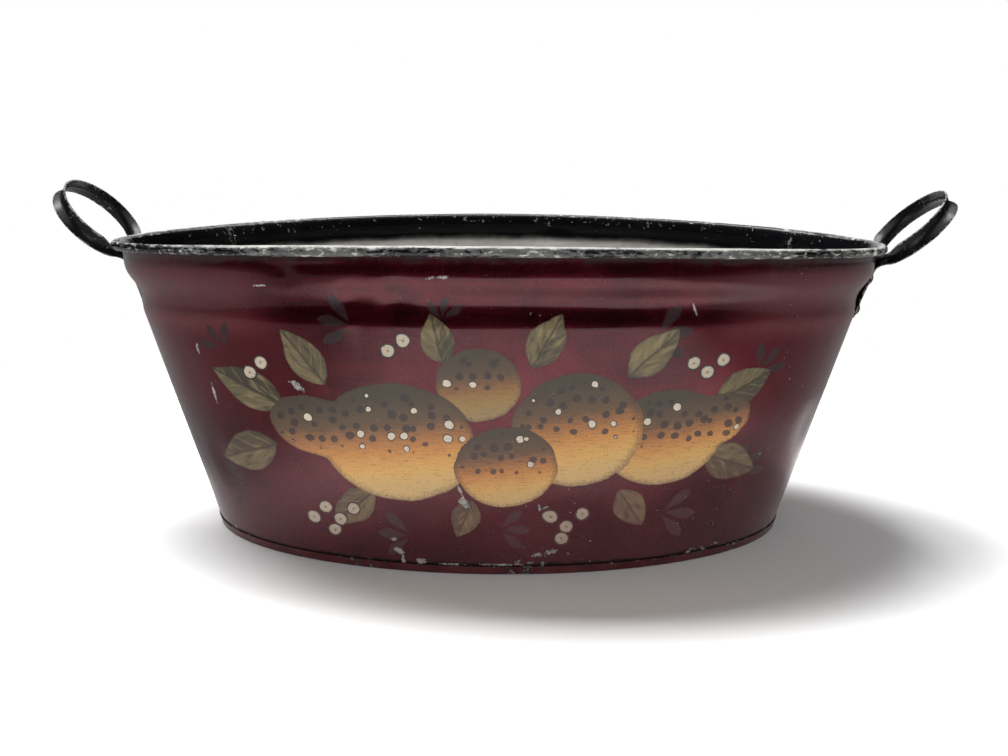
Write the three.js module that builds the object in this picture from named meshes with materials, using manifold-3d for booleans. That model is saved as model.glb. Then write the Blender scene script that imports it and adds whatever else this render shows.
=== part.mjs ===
// An oval tapered tub of thin sheet iron: two wall sheets joined by grooved seams, their top edge rolled over
// a rim wire, a floor pan folded round the foot of the walls, and two riveted loop handles of channelled strap.
// Millimetres, +Z up, +X along the tub, the front towards -Y, the origin at the middle of the base.

import * as THREE from 'three';
import { mergeVertices } from 'three/addons/utils/BufferGeometryUtils.js';
import Module from 'manifold-3d';

const wasm = await Module();
wasm.setup();

const { degToRad, lerp, clamp } = THREE.MathUtils;

// Overall sizes of the tub
const RIM_LENGTH = 580;
const RIM_WIDTH = 345.5;
const BASE_LENGTH = 440;
const BASE_WIDTH = 259;
const END_HEIGHT = 218.3; // top of the rim at the two ends
const SIDE_RISE = 9.5; // how much higher the rim stands at the middle of each long side

// Sheet, wire and the play left between layers that touch
const SHEET = 0.7;
const WIRE_RADIUS = 2.2;
const PLAY = 0.3;
const WIRE_PLAY = 0.35; // round the wire in its roll
const WALL_FOOT_PLAY = 0.5; // under the foot of the walls in the fold of the chime

// Shoulder swaged into the wall, with its depths measured down from the middle of the rim roll
const SWELL_DEPTH = 17;
const SWELL_OUT = 1.7;
const COVE_DEPTH = 34;
const COVE_IN = 2.8;
const SHOULDER_END = 50;

// Rim roll
const ROLL_SWEEP = 302; // degrees
const ROLL_STEPS = 9;

// Grooved seams, at the back quarters, by their angle round the oval from its right-hand end
const SEAM_ANGLE_RIGHT = 30;
const SEAM_ANGLE_LEFT = 144;
const SEAM_WIDTH = 6;
const SEAM_TOP_DEPTH = 6.5; // from the middle of the rim roll down to the top of the lock
const SEAM_FOOT_GAP = 2; // from the chime up to the foot of the lock

// Floor pan
const CHIME_HEIGHT = 6;
const FLOOR_HEIGHT = 4.6;
const FLOOR_CROWN = 1.6;
const FLOOR_MARGIN = 10; // the flat round the raised middle of the floor
const FLOOR_CORNER = 1.5;
const FOLD_CORNER = 0.45; // share of a folded layer that the bend of the chime takes up

// Handle loops. tilt is how far a loop leans up from level and skew how far it is turned, both in degrees,
// and shift is how far its middle lies from the middle of the tub's end.
const HANDLES = [
  { name: 'left', side: -1, tilt: 49, skew: 3.3, shift: 9 },
  { name: 'right', side: 1, tilt: 44.6, skew: -5.7, shift: -6 },
];
const STRAP_WIDTH = 12.5;
const STRAP_THICKNESS = 1.2;
const STRAP_CHANNEL = 2.4; // depth of the channel pressed into the outside of the strap
const LOOP_WIDTH = 86;
const LOOP_START = 0.7; // from the root out to the near end of the loop's oval
const LOOP_REACH = 66.9; // from the root out to the tip
const ROOT_OUT = 0.3; // the root lies this far outside the middle of the rim roll
const ROOT_DEPTH = 9.5; // and this far below it
const ROOT_SPREAD = 16; // half the distance between the two legs at the root
const ROOT_UPPER_EDGE = 3; // width left above the middle of the strap where it ducks under the rim roll
const EDGE_CLEAR = 2; // how far out from there the strap's upper edge stays narrow

// Where the bend of a leg lies on its way from the root to the foot, as shares of that way, and how far aside
const LEG_BEND_OUT = 0.75;
const LEG_BEND_ALONG = 0.3;
const LEG_BEND_DOWN = 0.15;
const LEG_BEND_ASIDE = 2;

// Handle feet
const FOOT_WIDTH = 12;
const FOOT_SPREAD = 14; // half the distance between the two feet of a handle
const FOOT_TOP_DEPTH = 18; // depths below the middle of the rim roll
const FOOT_END_DEPTH = 52;
const FOOT_END_NARROW = 0.5; // width left at the rounded end, as a share of the foot's

// Rivets through the feet
const RIVET_RADIUS = 1.7;
const RIVET_HEAD_RADIUS = 3.8;
const RIVET_HEAD_HEIGHT = 1.7;
const UPPER_RIVET_DEPTH = 23;
const LOWER_RIVET_DEPTH = 46;

// How finely the curves are drawn
const STATIONS = 60; // round the oval
const WIRE_SIDES = 8;
const LOOP_STEPS = 24;
const LEG_STEPS = 4;
const FOOT_STEPS = 4;
const RIVET_SIDES = 8;
const HOLE_SIDES = 12;

// What follows from the sizes above
const ROLL_RADIUS = WIRE_RADIUS + WIRE_PLAY + SHEET / 2; // to the middle of the sheet
const BEAD_RADIUS = ROLL_RADIUS + SHEET / 2;
const LAYER = SHEET + PLAY; // from the middle of one folded layer to the next
const RIM_A = RIM_LENGTH / 2 - BEAD_RADIUS;
const RIM_B = RIM_WIDTH / 2 - BEAD_RADIUS;
const RIM_Z = END_HEIGHT - BEAD_RADIUS;
const WALL_FOOT_A = BASE_LENGTH / 2 - LAYER - SHEET / 2;
const WALL_FOOT_B = BASE_WIDTH / 2 - LAYER - SHEET / 2;
const WALL_FOOT_Z = SHEET + WALL_FOOT_PLAY;

const UP = new THREE.Vector3(0, 0, 1);

const RIVETS = [
  { name: 'upper', depth: UPPER_RIVET_DEPTH },
  { name: 'lower', depth: LOWER_RIVET_DEPTH },
];

// Colours and finishes
const PAINTS = {
  black: { color: 0x17171a, roughness: 0.42, metalness: 0.3 },
  crimson: { color: 0x4a1020, roughness: 0.35, metalness: 0.2 },
  iron: { color: 0x55555a, roughness: 0.5, metalness: 0.9 },
};

const group = new THREE.Group();

function addPiece(name, geometry, paint) {
  const mesh = new THREE.Mesh(geometry, new THREE.MeshStandardMaterial(PAINTS[paint]));
  mesh.name = name;
  group.add(mesh);
}

// Triangles from loose corners: shared corners merged, empty triangles dropped and all faces turned outwards
function closedGeometry(corners) {
  const loose = new THREE.BufferGeometry().setFromPoints(corners);
  const merged = mergeVertices(loose, 1e-4);
  const order = merged.getIndex();
  const index = [];
  let volume = 0;
  for (let i = 0; i < order.count; i += 3) {
    const triangle = [0, 1, 2].map((k) => order.getX(i + k));
    if (new Set(triangle).size < 3) continue;
    index.push(...triangle);
    const [a, b, c] = triangle.map((k) =>
      new THREE.Vector3().fromBufferAttribute(merged.getAttribute('position'), k),
    );
    volume += a.dot(b.cross(c));
  }
  merged.setIndex(volume < 0 ? index.reverse() : index);
  return merged;
}

// A closed body between two matching grids of points, closed off round the edge of the cells that are in use.
// With ring true the first column follows the last.
function bodyBetween(outer, inner, { ring = false, used = () => true } = {}) {
  const columns = ring ? outer.length : outer.length - 1;
  const rows = outer[0].length - 1;
  const corners = [];
  const isUsed = (i, j) => {
    const column = ring ? (i + columns) % columns : i;
    return column >= 0 && column < columns && j >= 0 && j < rows && used(column, j);
  };
  const addQuad = (a, b, c, d) => corners.push(a, b, c, a, c, d);
  for (let i = 0; i < columns; i++) {
    const k = (i + 1) % outer.length;
    for (let j = 0; j < rows; j++) {
      if (!isUsed(i, j)) continue;
      const out = [outer[i][j], outer[k][j], outer[k][j + 1], outer[i][j + 1]];
      const back = [inner[i][j], inner[k][j], inner[k][j + 1], inner[i][j + 1]];
      const isOpen = [!isUsed(i, j - 1), !isUsed(i + 1, j), !isUsed(i, j + 1), !isUsed(i - 1, j)];
      addQuad(...out);
      addQuad(...[...back].reverse());
      for (let side = 0; side < 4; side++) {
        const end = (side + 1) % 4;
        if (isOpen[side]) addQuad(out[end], out[side], back[side], back[end]);
      }
    }
  }
  return closedGeometry(corners);
}

function toSolid(geometry) {
  const bare = new THREE.BufferGeometry();
  bare.setAttribute('position', geometry.getAttribute('position'));
  bare.setIndex(geometry.getIndex());
  const merged = mergeVertices(bare, 1e-4);
  const vertProperties = new Float32Array(merged.getAttribute('position').array);
  const triVerts = new Uint32Array(merged.getIndex().array);
  return new wasm.Manifold(new wasm.Mesh({ numProp: 3, vertProperties, triVerts }));
}

function fromSolid(solid) {
  const mesh = solid.getMesh();
  const geometry = new THREE.BufferGeometry();
  geometry.setAttribute('position', new THREE.BufferAttribute(mesh.vertProperties, 3));
  geometry.setIndex(Array.from(mesh.triVerts));
  return geometry;
}

// A line of plane points moved to its right by a distance, with its corners mitred
function offsetLine(line, distance) {
  const rightOf = (p, q) => {
    const length = Math.hypot(q[0] - p[0], q[1] - p[1]);
    return [(q[1] - p[1]) / length, (p[0] - q[0]) / length];
  };
  return line.map((p, i) => {
    const before = i > 0 ? rightOf(line[i - 1], p) : rightOf(p, line[1]);
    const after = i < line.length - 1 ? rightOf(p, line[i + 1]) : before;
    const scale = distance / (1 + before[0] * after[0] + before[1] * after[1]);
    return [p[0] + (before[0] + after[0]) * scale, p[1] + (before[1] + after[1]) * scale];
  });
}

function arc(centre, radius, from, to, steps) {
  return Array.from({ length: steps + 1 }, (_, i) => {
    const angle = degToRad(lerp(from, to, i / steps));
    return [centre[0] + radius * Math.cos(angle), centre[1] + radius * Math.sin(angle)];
  });
}

// One station of the oval: the middle of the rim roll, the directions out of the wall and along it, the foot
// of the wall in those directions from the rim, and how far the wall leans out from upright
function stationAt(angle) {
  const rise = SIDE_RISE * Math.sin(angle) ** 2;
  const rim = new THREE.Vector3(RIM_A * Math.cos(angle), RIM_B * Math.sin(angle), RIM_Z + rise);
  const out = new THREE.Vector3(Math.cos(angle) / RIM_A, Math.sin(angle) / RIM_B, 0).normalize();
  const along = UP.clone().cross(out);
  const foot = new THREE.Vector3(WALL_FOOT_A * Math.cos(angle), WALL_FOOT_B * Math.sin(angle), 0);
  const toFoot = foot.sub(rim);
  const lean = Math.atan2(-toFoot.dot(out) - ROLL_RADIUS, rim.z);
  return { rim, out, along, lean, footOut: toFoot.dot(out), footDrift: toFoot.dot(along) };
}

const stations = Array.from({ length: STATIONS }, (_, i) => stationAt((2 * Math.PI * i) / STATIONS));

// A point given by its distance out and its drift along the oval, both from the middle of the rim roll
function place(station, [out, z], drift) {
  const point = station.rim.clone().setZ(z);
  return point.addScaledVector(station.out, out).addScaledVector(station.along, drift);
}

// How far the swaged shoulder stands out from the straight taper at a depth below the middle of the roll
function shoulderAt(depth) {
  const ease = (from, to) => (1 - Math.cos(Math.PI * clamp((depth - from) / (to - from), 0, 1))) / 2;
  const swell = ease(BEAD_RADIUS, SWELL_DEPTH) * SWELL_OUT;
  const cove = ease(SWELL_DEPTH, COVE_DEPTH) * (SWELL_OUT + COVE_IN);
  return swell - cove + ease(COVE_DEPTH, SHOULDER_END) * COVE_IN;
}

// The middle of the wall sheet at a height: its distance out and its drift
function wallAt(station, z) {
  const t = z / (station.rim.z + ROLL_RADIUS * Math.sin(station.lean));
  const taper = lerp(station.footOut, -ROLL_RADIUS * Math.cos(station.lean), t);
  return { out: taper + shoulderAt(station.rim.z - z), drift: station.footDrift * (1 - t) };
}

// The two faces of a sheet along a section that is given by its middle line
function facesOf(station, line, drifts) {
  const face = (distance) =>
    offsetLine(line, distance).map((point, i) => place(station, point, drifts[i]));
  return { outer: face(SHEET / 2), inner: face(-SHEET / 2) };
}

// Rows of the wall sheets: the foot, the foot of the lock, the shoulder, the top of the lock, then the rim roll
const SHOULDER_DEPTHS = [
  SHOULDER_END,
  ...[0.7, 0.35].map((t) => lerp(COVE_DEPTH, SHOULDER_END, t)),
  COVE_DEPTH,
  ...[0.72, 0.5, 0.28].map((t) => lerp(SWELL_DEPTH, COVE_DEPTH, t)),
  SWELL_DEPTH,
  (BEAD_RADIUS + SWELL_DEPTH) / 2,
];
const LOCK_FOOT_ROW = 1;
const LOCK_TOP_ROW = SHOULDER_DEPTHS.length + 2;

function wallSection(station) {
  const lockFoot = CHIME_HEIGHT + SEAM_FOOT_GAP;
  const shoulder = SHOULDER_DEPTHS.map((depth) => station.rim.z - depth);
  const heights = [WALL_FOOT_Z, lockFoot, ...shoulder, station.rim.z - SEAM_TOP_DEPTH];
  const wall = heights.map((z) => ({ z, ...wallAt(station, z) }));
  const start = 180 - THREE.MathUtils.radToDeg(station.lean);
  const roll = arc([0, station.rim.z], ROLL_RADIUS, start, start - ROLL_SWEEP, ROLL_STEPS);
  const line = [...wall.map(({ out, z }) => [out, z]), ...roll];
  const drifts = [...wall.map(({ drift }) => drift), ...roll.map(() => 0)];
  return facesOf(station, line, drifts);
}

// The grooved seam in plan, with [along, out] points that run off the plain wall into each hook, from the
// station where the sheets meet. The front sheet folds up and back over itself. The back sheet steps over that
// fold, turns in behind it and ends between its two layers. Outside the lock the sheets butt instead.
const FRONT_HOOK = {
  face: -1,
  line: [...arc([0, LAYER], LAYER, -90, 90, 4), [PLAY - SEAM_WIDTH, 2 * LAYER]],
  butt: 0,
};
const BACK_HOOK = {
  face: 1,
  line: [
    [3 * LAYER, 0],
    ...arc([0, LAYER], 2 * LAYER, 0, 90, 2),
    ...arc([-SEAM_WIDTH, 2 * LAYER], LAYER, 90, 270, 4),
    [-2 * PLAY, LAYER],
  ],
  butt: PLAY,
};

// Columns of points up the wall for each point of a hook. turn is 1 where the oval runs from the front sheet
// to the back one, and -1 where it runs the other way.
function hookColumns(station, hook, turn) {
  const { outer, inner } = wallSection(station);
  const plan = [1, -1].map((way) => offsetLine(hook.line, (way * hook.face * SHEET) / 2));
  return hook.line.map((_, column) => {
    const [outerFace, innerFace] = plan.map((face, way) =>
      outer.map((outerPoint, row) => {
        const out = outerPoint.clone().sub(inner[row]).normalize();
        const middle = outerPoint.clone().lerp(inner[row], 0.5);
        const isButt = column === 0 && (row < LOCK_FOOT_ROW || row > LOCK_TOP_ROW);
        const plain = [hook.butt, (way === 0 ? 1 : -1) * (SHEET / 2)];
        const [along, height] = isButt ? plain : face[column];
        return middle.addScaledVector(station.along, turn * along).addScaledVector(out, height);
      }),
    );
    return { outer: outerFace, inner: innerFace };
  });
}

// One wall sheet, from the seam at one station round to the seam at another
function wallSheet(first, last, hook, turn) {
  const start = hookColumns(stations[first], hook, -turn).reverse();
  const end = hookColumns(stations[last % STATIONS], hook, turn);
  const plain = Array.from({ length: last - first - 1 }, (_, i) =>
    wallSection(stations[(first + 1 + i) % STATIONS]),
  );
  const columns = [...start, ...plain, ...end];
  const folded = hook.line.length - 1;
  const used = (i, j) => {
    const isLockRow = j >= LOCK_FOOT_ROW && j < LOCK_TOP_ROW;
    return isLockRow || (i >= folded && i < columns.length - 1 - folded);
  };
  const faces = ['outer', 'inner'].map((face) => columns.map((column) => column[face]));
  return bodyBetween(...faces, { used });
}

// The floor, its edge turned down inside the walls, under their foot and up outside as the chime
function floorPan() {
  const columns = stations.map((station) => {
    const foot = wallAt(station, WALL_FOOT_Z);
    const leg = (z, offset) => [wallAt(station, z).out + offset, z];
    const bottom = SHEET / 2;
    const corner = leg(FLOOR_HEIGHT, -LAYER)[0];
    const legFoot = bottom + FOLD_CORNER * LAYER;
    const halfFlat = (1 - FOLD_CORNER) * LAYER;
    const centre = -station.rim.dot(station.out);
    const middleEdge = corner - FLOOR_MARGIN - 2 * FLOOR_CROWN;
    const line = [
      [centre, FLOOR_HEIGHT + FLOOR_CROWN],
      [middleEdge, FLOOR_HEIGHT + FLOOR_CROWN],
      [corner - FLOOR_MARGIN, FLOOR_HEIGHT],
      [corner - FLOOR_CORNER, FLOOR_HEIGHT],
      leg(FLOOR_HEIGHT - FLOOR_CORNER, -LAYER),
      leg(legFoot, -LAYER),
      [foot.out - halfFlat, bottom],
      [foot.out + halfFlat, bottom],
      leg(legFoot, LAYER),
      leg(CHIME_HEIGHT, LAYER),
    ];
    const drifts = line.map(([, z], i) => (i === 0 ? driftToCentre(station) : wallAt(station, z).drift));
    return facesOf(station, line, drifts);
  });
  const faces = ['outer', 'inner'].map((face) => columns.map((column) => column[face]));
  return bodyBetween(...faces, { ring: true });
}

function driftToCentre(station) {
  return -station.rim.clone().setZ(0).dot(station.along);
}

// A round wire that fills the rim roll
function rimWire() {
  const around = (station, from, to) =>
    arc([0, station.rim.z], WIRE_RADIUS, from, to, WIRE_SIDES / 2).map((point) => place(station, point, 0));
  const outer = stations.map((station) => around(station, 90, -90));
  const inner = stations.map((station) => around(station, 90, 270));
  return bodyBetween(outer, inner, { ring: true });
}

// The outside of the wall at the right-hand end, drawn with the same flats as the wall sheet: its x at a y and z
function wallOutsideX(y, z) {
  const step = y < 0 ? -1 : 1;
  const pointOf = (i) => {
    const station = stations[(i + STATIONS) % STATIONS];
    const { out, drift } = wallAt(station, z);
    return place(station, [out + SHEET / 2 / Math.cos(station.lean), z], drift);
  };
  let i = 0;
  while (Math.abs(pointOf(i + step).y) < Math.abs(y)) i += step;
  const [p, q] = [pointOf(i), pointOf(i + step)];
  return lerp(p.x, q.x, (y - p.y) / (q.y - p.y));
}

// One foot of a handle at the right-hand end: a flat strip down the wall that bridges the cove. It gives the
// middle of the strip at a depth below the rim roll and a place across it from -1 to 1.
function footOf(middleY) {
  const half = FOOT_WIDTH / 2;
  const clear = PLAY + STRAP_THICKNESS / 2;
  const seatAt = (y, depth) => wallOutsideX(y, RIM_Z - depth) + clear;
  const edgeAt = (across, depth) => {
    const edges = [-1, 1].map((side) => seatAt(middleY + side * half, depth));
    const chord = (s) => lerp(edges[0], edges[1], (s + 1) / 2);
    const bulges = [-0.5, 0, 0.5].map((s) => seatAt(middleY + s * half, depth) - chord(s));
    return chord(across) + Math.max(0, ...bulges);
  };
  return (across, depth) => {
    const t = (depth - FOOT_TOP_DEPTH) / (SHOULDER_END - FOOT_TOP_DEPTH);
    const x = lerp(edgeAt(across, FOOT_TOP_DEPTH), edgeAt(across, SHOULDER_END), t);
    return new THREE.Vector3(x, middleY + across * half, RIM_Z - depth);
  };
}

// One handle at the right-hand end: columns of points across the strap, run from the end of the front foot
// round the loop to the end of the back foot
const ACROSS = [-1, -0.8, -0.45, 0, 0.45, 0.8, 1];

function handleColumns({ tilt, skew, shift }) {
  const root = new THREE.Vector3(RIM_A + ROOT_OUT, 0, RIM_Z - ROOT_DEPTH);
  const [tiltAngle, skewAngle] = [degToRad(tilt), degToRad(skew)];
  const reach = new THREE.Vector3(Math.cos(tiltAngle), 0, Math.sin(tiltAngle));
  const lower = new THREE.Vector3(Math.sin(tiltAngle), 0, -Math.cos(tiltAngle));
  const [halfReach, halfWidth] = [(LOOP_REACH - LOOP_START) / 2, LOOP_WIDTH / 2];
  const toPlace = (vector) => vector.setY(vector.y + shift).applyAxisAngle(UP, skewAngle).add(root);

  // Across the loop at an angle of its oval, 0 at the tip: the middle of the strap and its outward direction
  const loopAt = (angle) => {
    const out = LOOP_START + halfReach * (1 + Math.cos(angle));
    const middle = reach.clone().multiplyScalar(out).setY(halfWidth * Math.sin(angle));
    const outward = reach.clone().multiplyScalar(halfWidth * Math.cos(angle));
    outward.setY(halfReach * Math.sin(angle)).normalize();
    const free = THREE.MathUtils.smoothstep(out, ROOT_UPPER_EDGE + EDGE_CLEAR, STRAP_WIDTH + EDGE_CLEAR);
    const upperEdge = lerp(ROOT_UPPER_EDGE, STRAP_WIDTH / 2, free);
    return ACROSS.map((across) => {
      const sunk = STRAP_CHANNEL * Math.cos((across * Math.PI) / 2) ** 1.5;
      const offset = across < 0 ? across * upperEdge : (across * STRAP_WIDTH) / 2;
      const point = middle.clone().addScaledVector(lower, offset).addScaledVector(outward, -sunk);
      return toPlace(point);
    });
  };
  const rootAngle = Math.PI - Math.asin(ROOT_SPREAD / halfWidth);
  const loop = Array.from({ length: LOOP_STEPS + 1 }, (_, i) =>
    loopAt(lerp(-rootAngle, rootAngle, i / LOOP_STEPS)),
  );

  // Down the foot from its top, narrowing to a rounded end
  const foot = (way) => {
    const strip = footOf(shift + way * FOOT_SPREAD);
    return Array.from({ length: FOOT_STEPS + 1 }, (_, i) => {
      const depth = lerp(FOOT_TOP_DEPTH, FOOT_END_DEPTH, Math.sqrt(i / FOOT_STEPS));
      const narrow = i === FOOT_STEPS ? FOOT_END_NARROW : 1;
      return ACROSS.map((across) => strip(way * across * narrow, depth));
    });
  };

  // From the root of the loop into the foot, each line of the strap by its own curve
  const leg = (way, from, to) =>
    Array.from({ length: LEG_STEPS - 1 }, (_, i) =>
      from.map((start, row) => {
        const end = to[row];
        const bend = new THREE.Vector3(
          lerp(start.x, end.x, LEG_BEND_OUT),
          lerp(start.y, end.y, LEG_BEND_ALONG) - way * LEG_BEND_ASIDE,
          lerp(start.z, end.z, LEG_BEND_DOWN),
        );
        return new THREE.QuadraticBezierCurve3(start, bend, end).getPoint((i + 1) / LEG_STEPS);
      }),
    );
  const feet = { front: foot(-1), back: foot(1) };
  return [
    ...feet.front.toReversed(),
    ...leg(-1, loop[0], feet.front[0]).reverse(),
    ...loop,
    ...leg(1, loop[LOOP_STEPS], feet.back[0]),
    ...feet.back,
  ];
}

// A strap of even thickness about a grid of points in the middle of its sheet
function strapAbout(columns) {
  const normalAt = (i, j) => {
    const column = columns[i];
    const before = columns[Math.max(i - 1, 0)];
    const after = columns[Math.min(i + 1, columns.length - 1)];
    const run = after[j].clone().sub(before[j]);
    const cross = column[Math.min(j + 1, column.length - 1)].clone().sub(column[Math.max(j - 1, 0)]);
    return run.cross(cross).normalize();
  };
  const face = (distance) =>
    columns.map((column, i) =>
      column.map((point, j) => point.clone().addScaledVector(normalAt(i, j), distance)),
    );
  return bodyBetween(face(STRAP_THICKNESS / 2), face(-STRAP_THICKNESS / 2));
}

// Where each rivet of a handle goes at the right-hand end: on the outer face of its foot, with its axis
// pointing out, and the distance from there through foot and wall to the seat of its inner head
function rivetSeats({ shift }) {
  const seats = [];
  for (const [foot, way] of [['front', -1], ['back', 1]]) {
    const strip = footOf(shift + way * FOOT_SPREAD);
    for (const { name, depth } of RIVETS) {
      const middle = strip(0, depth);
      const down = strip(0, depth + 1).sub(strip(0, depth - 1));
      const across = strip(1, depth).sub(strip(-1, depth));
      const axis = down.cross(across).normalize();
      if (axis.x < 0) axis.negate();
      const seat = middle.clone().addScaledVector(axis, STRAP_THICKNESS / 2);
      const reaches = [-1, 0, 1].map((step) => {
        const z = middle.z + step * RIVET_HEAD_RADIUS;
        const inside = wallOutsideX(middle.y, z) - SHEET / axis.x;
        return (seat.x - inside) * axis.x + (seat.z - z) * axis.z;
      });
      seats.push({ name: `${foot}_rivet_${name}`, seat, axis, grip: Math.max(...reaches) + PLAY });
    }
  }
  return seats;
}

// A round-headed rivet along +Y, with its outer head above 0 and its inner head below the grip
function rivetGeometry(grip) {
  const dome = (start, way) =>
    [0, 30, 60, 90].map((angle) => {
      const [across, up] = [Math.sin(degToRad(angle)), Math.cos(degToRad(angle))];
      return new THREE.Vector2(across * RIVET_HEAD_RADIUS, start + way * up * RIVET_HEAD_HEIGHT);
    });
  const profile = [
    ...dome(-grip, -1),
    new THREE.Vector2(RIVET_RADIUS, -grip),
    new THREE.Vector2(RIVET_RADIUS, PLAY),
    ...dome(PLAY, 1).reverse(),
  ];
  return closedGeometry(cornersOf(new THREE.LatheGeometry(profile, RIVET_SIDES)));
}

// The corners of a geometry's triangles, one after the other
function cornersOf(geometry) {
  const position = geometry.getAttribute('position');
  return Array.from(geometry.getIndex().array, (i) => new THREE.Vector3().fromBufferAttribute(position, i));
}

function turnedTo(geometry, axis, position) {
  const turn = new THREE.Quaternion().setFromUnitVectors(new THREE.Vector3(0, 1, 0), axis);
  return geometry.applyQuaternion(turn).translate(position.x, position.y, position.z);
}

// The mirror image at the left-hand end of what is made at the right-hand end
function atSide(geometry, side) {
  if (side > 0) return geometry;
  geometry.scale(-1, 1, 1);
  const index = Array.from(geometry.getIndex().array).reverse();
  geometry.setIndex(index);
  return geometry;
}

// Assembly
const seamStation = (angle) => Math.round((angle / 360) * STATIONS);
const [rightSeam, leftSeam] = [SEAM_ANGLE_RIGHT, SEAM_ANGLE_LEFT].map(seamStation);
let frontWall = toSolid(wallSheet(leftSeam, rightSeam + STATIONS, FRONT_HOOK, 1));
const backWall = wallSheet(rightSeam, leftSeam, BACK_HOOK, -1);

for (const handle of HANDLES) {
  const holeRadius = RIVET_RADIUS + PLAY;
  let strap = toSolid(strapAbout(handleColumns(handle)));
  for (const { name, seat, axis, grip } of rivetSeats(handle)) {
    const hole = new THREE.CylinderGeometry(holeRadius, holeRadius, 3 * grip, HOLE_SIDES);
    const middle = seat.clone().addScaledVector(axis, -grip / 2);
    const bore = turnedTo(closedGeometry(cornersOf(hole)), axis, middle);
    strap = strap.subtract(toSolid(bore));
    frontWall = frontWall.subtract(toSolid(atSide(bore, handle.side)));
    const rivet = turnedTo(rivetGeometry(grip), axis, seat);
    addPiece(`${handle.name}_${name}`, atSide(rivet, handle.side), 'black');
  }
  addPiece(`handle_${handle.name}`, atSide(fromSolid(strap), handle.side), 'black');
}

addPiece('front_wall', fromSolid(frontWall), 'crimson');
addPiece('back_wall', backWall, 'crimson');
addPiece('rim_wire', rimWire(), 'iron');
addPiece('floor_pan', floorPan(), 'black');

export default group;
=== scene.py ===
import functools
import math

import bmesh
import bpy
import numpy as np
from mathutils import Matrix, Vector


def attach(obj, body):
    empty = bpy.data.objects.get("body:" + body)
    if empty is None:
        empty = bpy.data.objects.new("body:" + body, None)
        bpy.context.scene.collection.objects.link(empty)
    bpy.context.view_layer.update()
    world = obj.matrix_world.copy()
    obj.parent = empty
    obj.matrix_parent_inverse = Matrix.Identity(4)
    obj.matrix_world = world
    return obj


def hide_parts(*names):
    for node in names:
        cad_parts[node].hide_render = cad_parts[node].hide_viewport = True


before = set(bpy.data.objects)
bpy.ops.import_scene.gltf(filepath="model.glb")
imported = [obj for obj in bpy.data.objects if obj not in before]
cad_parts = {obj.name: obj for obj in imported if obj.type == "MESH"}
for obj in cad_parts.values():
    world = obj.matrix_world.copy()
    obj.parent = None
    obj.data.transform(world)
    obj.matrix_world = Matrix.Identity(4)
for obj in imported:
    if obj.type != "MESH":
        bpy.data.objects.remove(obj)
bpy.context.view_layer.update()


# CAMERA
# It stands a little above the rim, 0.8 m in front of the middle of the tub, and looks slightly down at it.
CAMERA_PLACE = Vector((0.00547, -0.80072, 0.28416))
CAMERA_YAW, CAMERA_PITCH, CAMERA_ROLL = -0.0017, 0.2143, 0.0064
CAMERA_SENSOR = 36
CAMERA_LENS = 37.29

ahead = Vector((
    math.sin(CAMERA_YAW) * math.cos(CAMERA_PITCH),
    math.cos(CAMERA_YAW) * math.cos(CAMERA_PITCH),
    -math.sin(CAMERA_PITCH),
))
level = Vector((math.cos(CAMERA_YAW), -math.sin(CAMERA_YAW), 0))
upright = level.cross(ahead)
aside = level * math.cos(CAMERA_ROLL) + upright * math.sin(CAMERA_ROLL)
upright = upright * math.cos(CAMERA_ROLL) - level * math.sin(CAMERA_ROLL)
camera = bpy.data.objects.new("camera", bpy.data.cameras.new("camera"))
camera.data.sensor_width = CAMERA_SENSOR
camera.data.lens = CAMERA_LENS
camera.data.clip_start = 0.01
camera_turn = Matrix((aside, upright, -ahead)).transposed().to_4x4()
camera.matrix_world = Matrix.Translation(CAMERA_PLACE) @ camera_turn
bpy.context.scene.collection.objects.link(camera)
bpy.context.scene.camera = camera


# THE WALL OF THE TUB
# Thin sheet iron, wider at the rim than at the foot, with a shoulder swaged in below the rim and its top edge
# rolled over a wire. The oval is drawn out ring by ring from the foot to the lip of the roll, bent up at the
# long sides, dented by use, and then parted into the front and the back sheet at the two seams.
SHEET = 0.0007
PLAY = 0.0003
LAYER = SHEET + PLAY
RIM_OVAL = (0.28675, 0.1695)
RIM_HEIGHT = 0.21505
SIDE_RISE = 0.0095
FOOT_OVAL = (0.21865, 0.12815)
FOOT_HEIGHT = 0.0012
ROLL_RADIUS = 0.0029
ROLL_START, ROLL_SWEEP = 166.7, 302
ROLL_STEPS = 18
BEAD_RADIUS = ROLL_RADIUS + SHEET / 2
SWELL_DEPTH, SWELL_OUT = 0.017, 0.0017
COVE_DEPTH, COVE_IN = 0.034, 0.0028
SHOULDER_END = 0.050
SHOULDER_ROWS = 28
TAPER_ROWS = 24
LOCK_TOP_DEPTH = 0.0065
NECK_DEPTHS = (0.0063, 0.0048, 0.0032, 0.0016)
LOCK_FOOT_HEIGHT = 0.008
COLUMNS = 360
SEAM_RIGHT, SEAM_LEFT = 30, 144


def held(share):
    """A share, held between 0 and 1."""
    return min(max(share, 0), 1)


def eased(depth, start, end):
    return (1 - math.cos(math.pi * held((depth - start) / (end - start)))) / 2


def shoulder(depth):
    swell = eased(depth, BEAD_RADIUS, SWELL_DEPTH) * SWELL_OUT
    cove = eased(depth, SWELL_DEPTH, COVE_DEPTH) * (SWELL_OUT + COVE_IN)
    return swell - cove + eased(depth, COVE_DEPTH, SHOULDER_END) * COVE_IN


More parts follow.
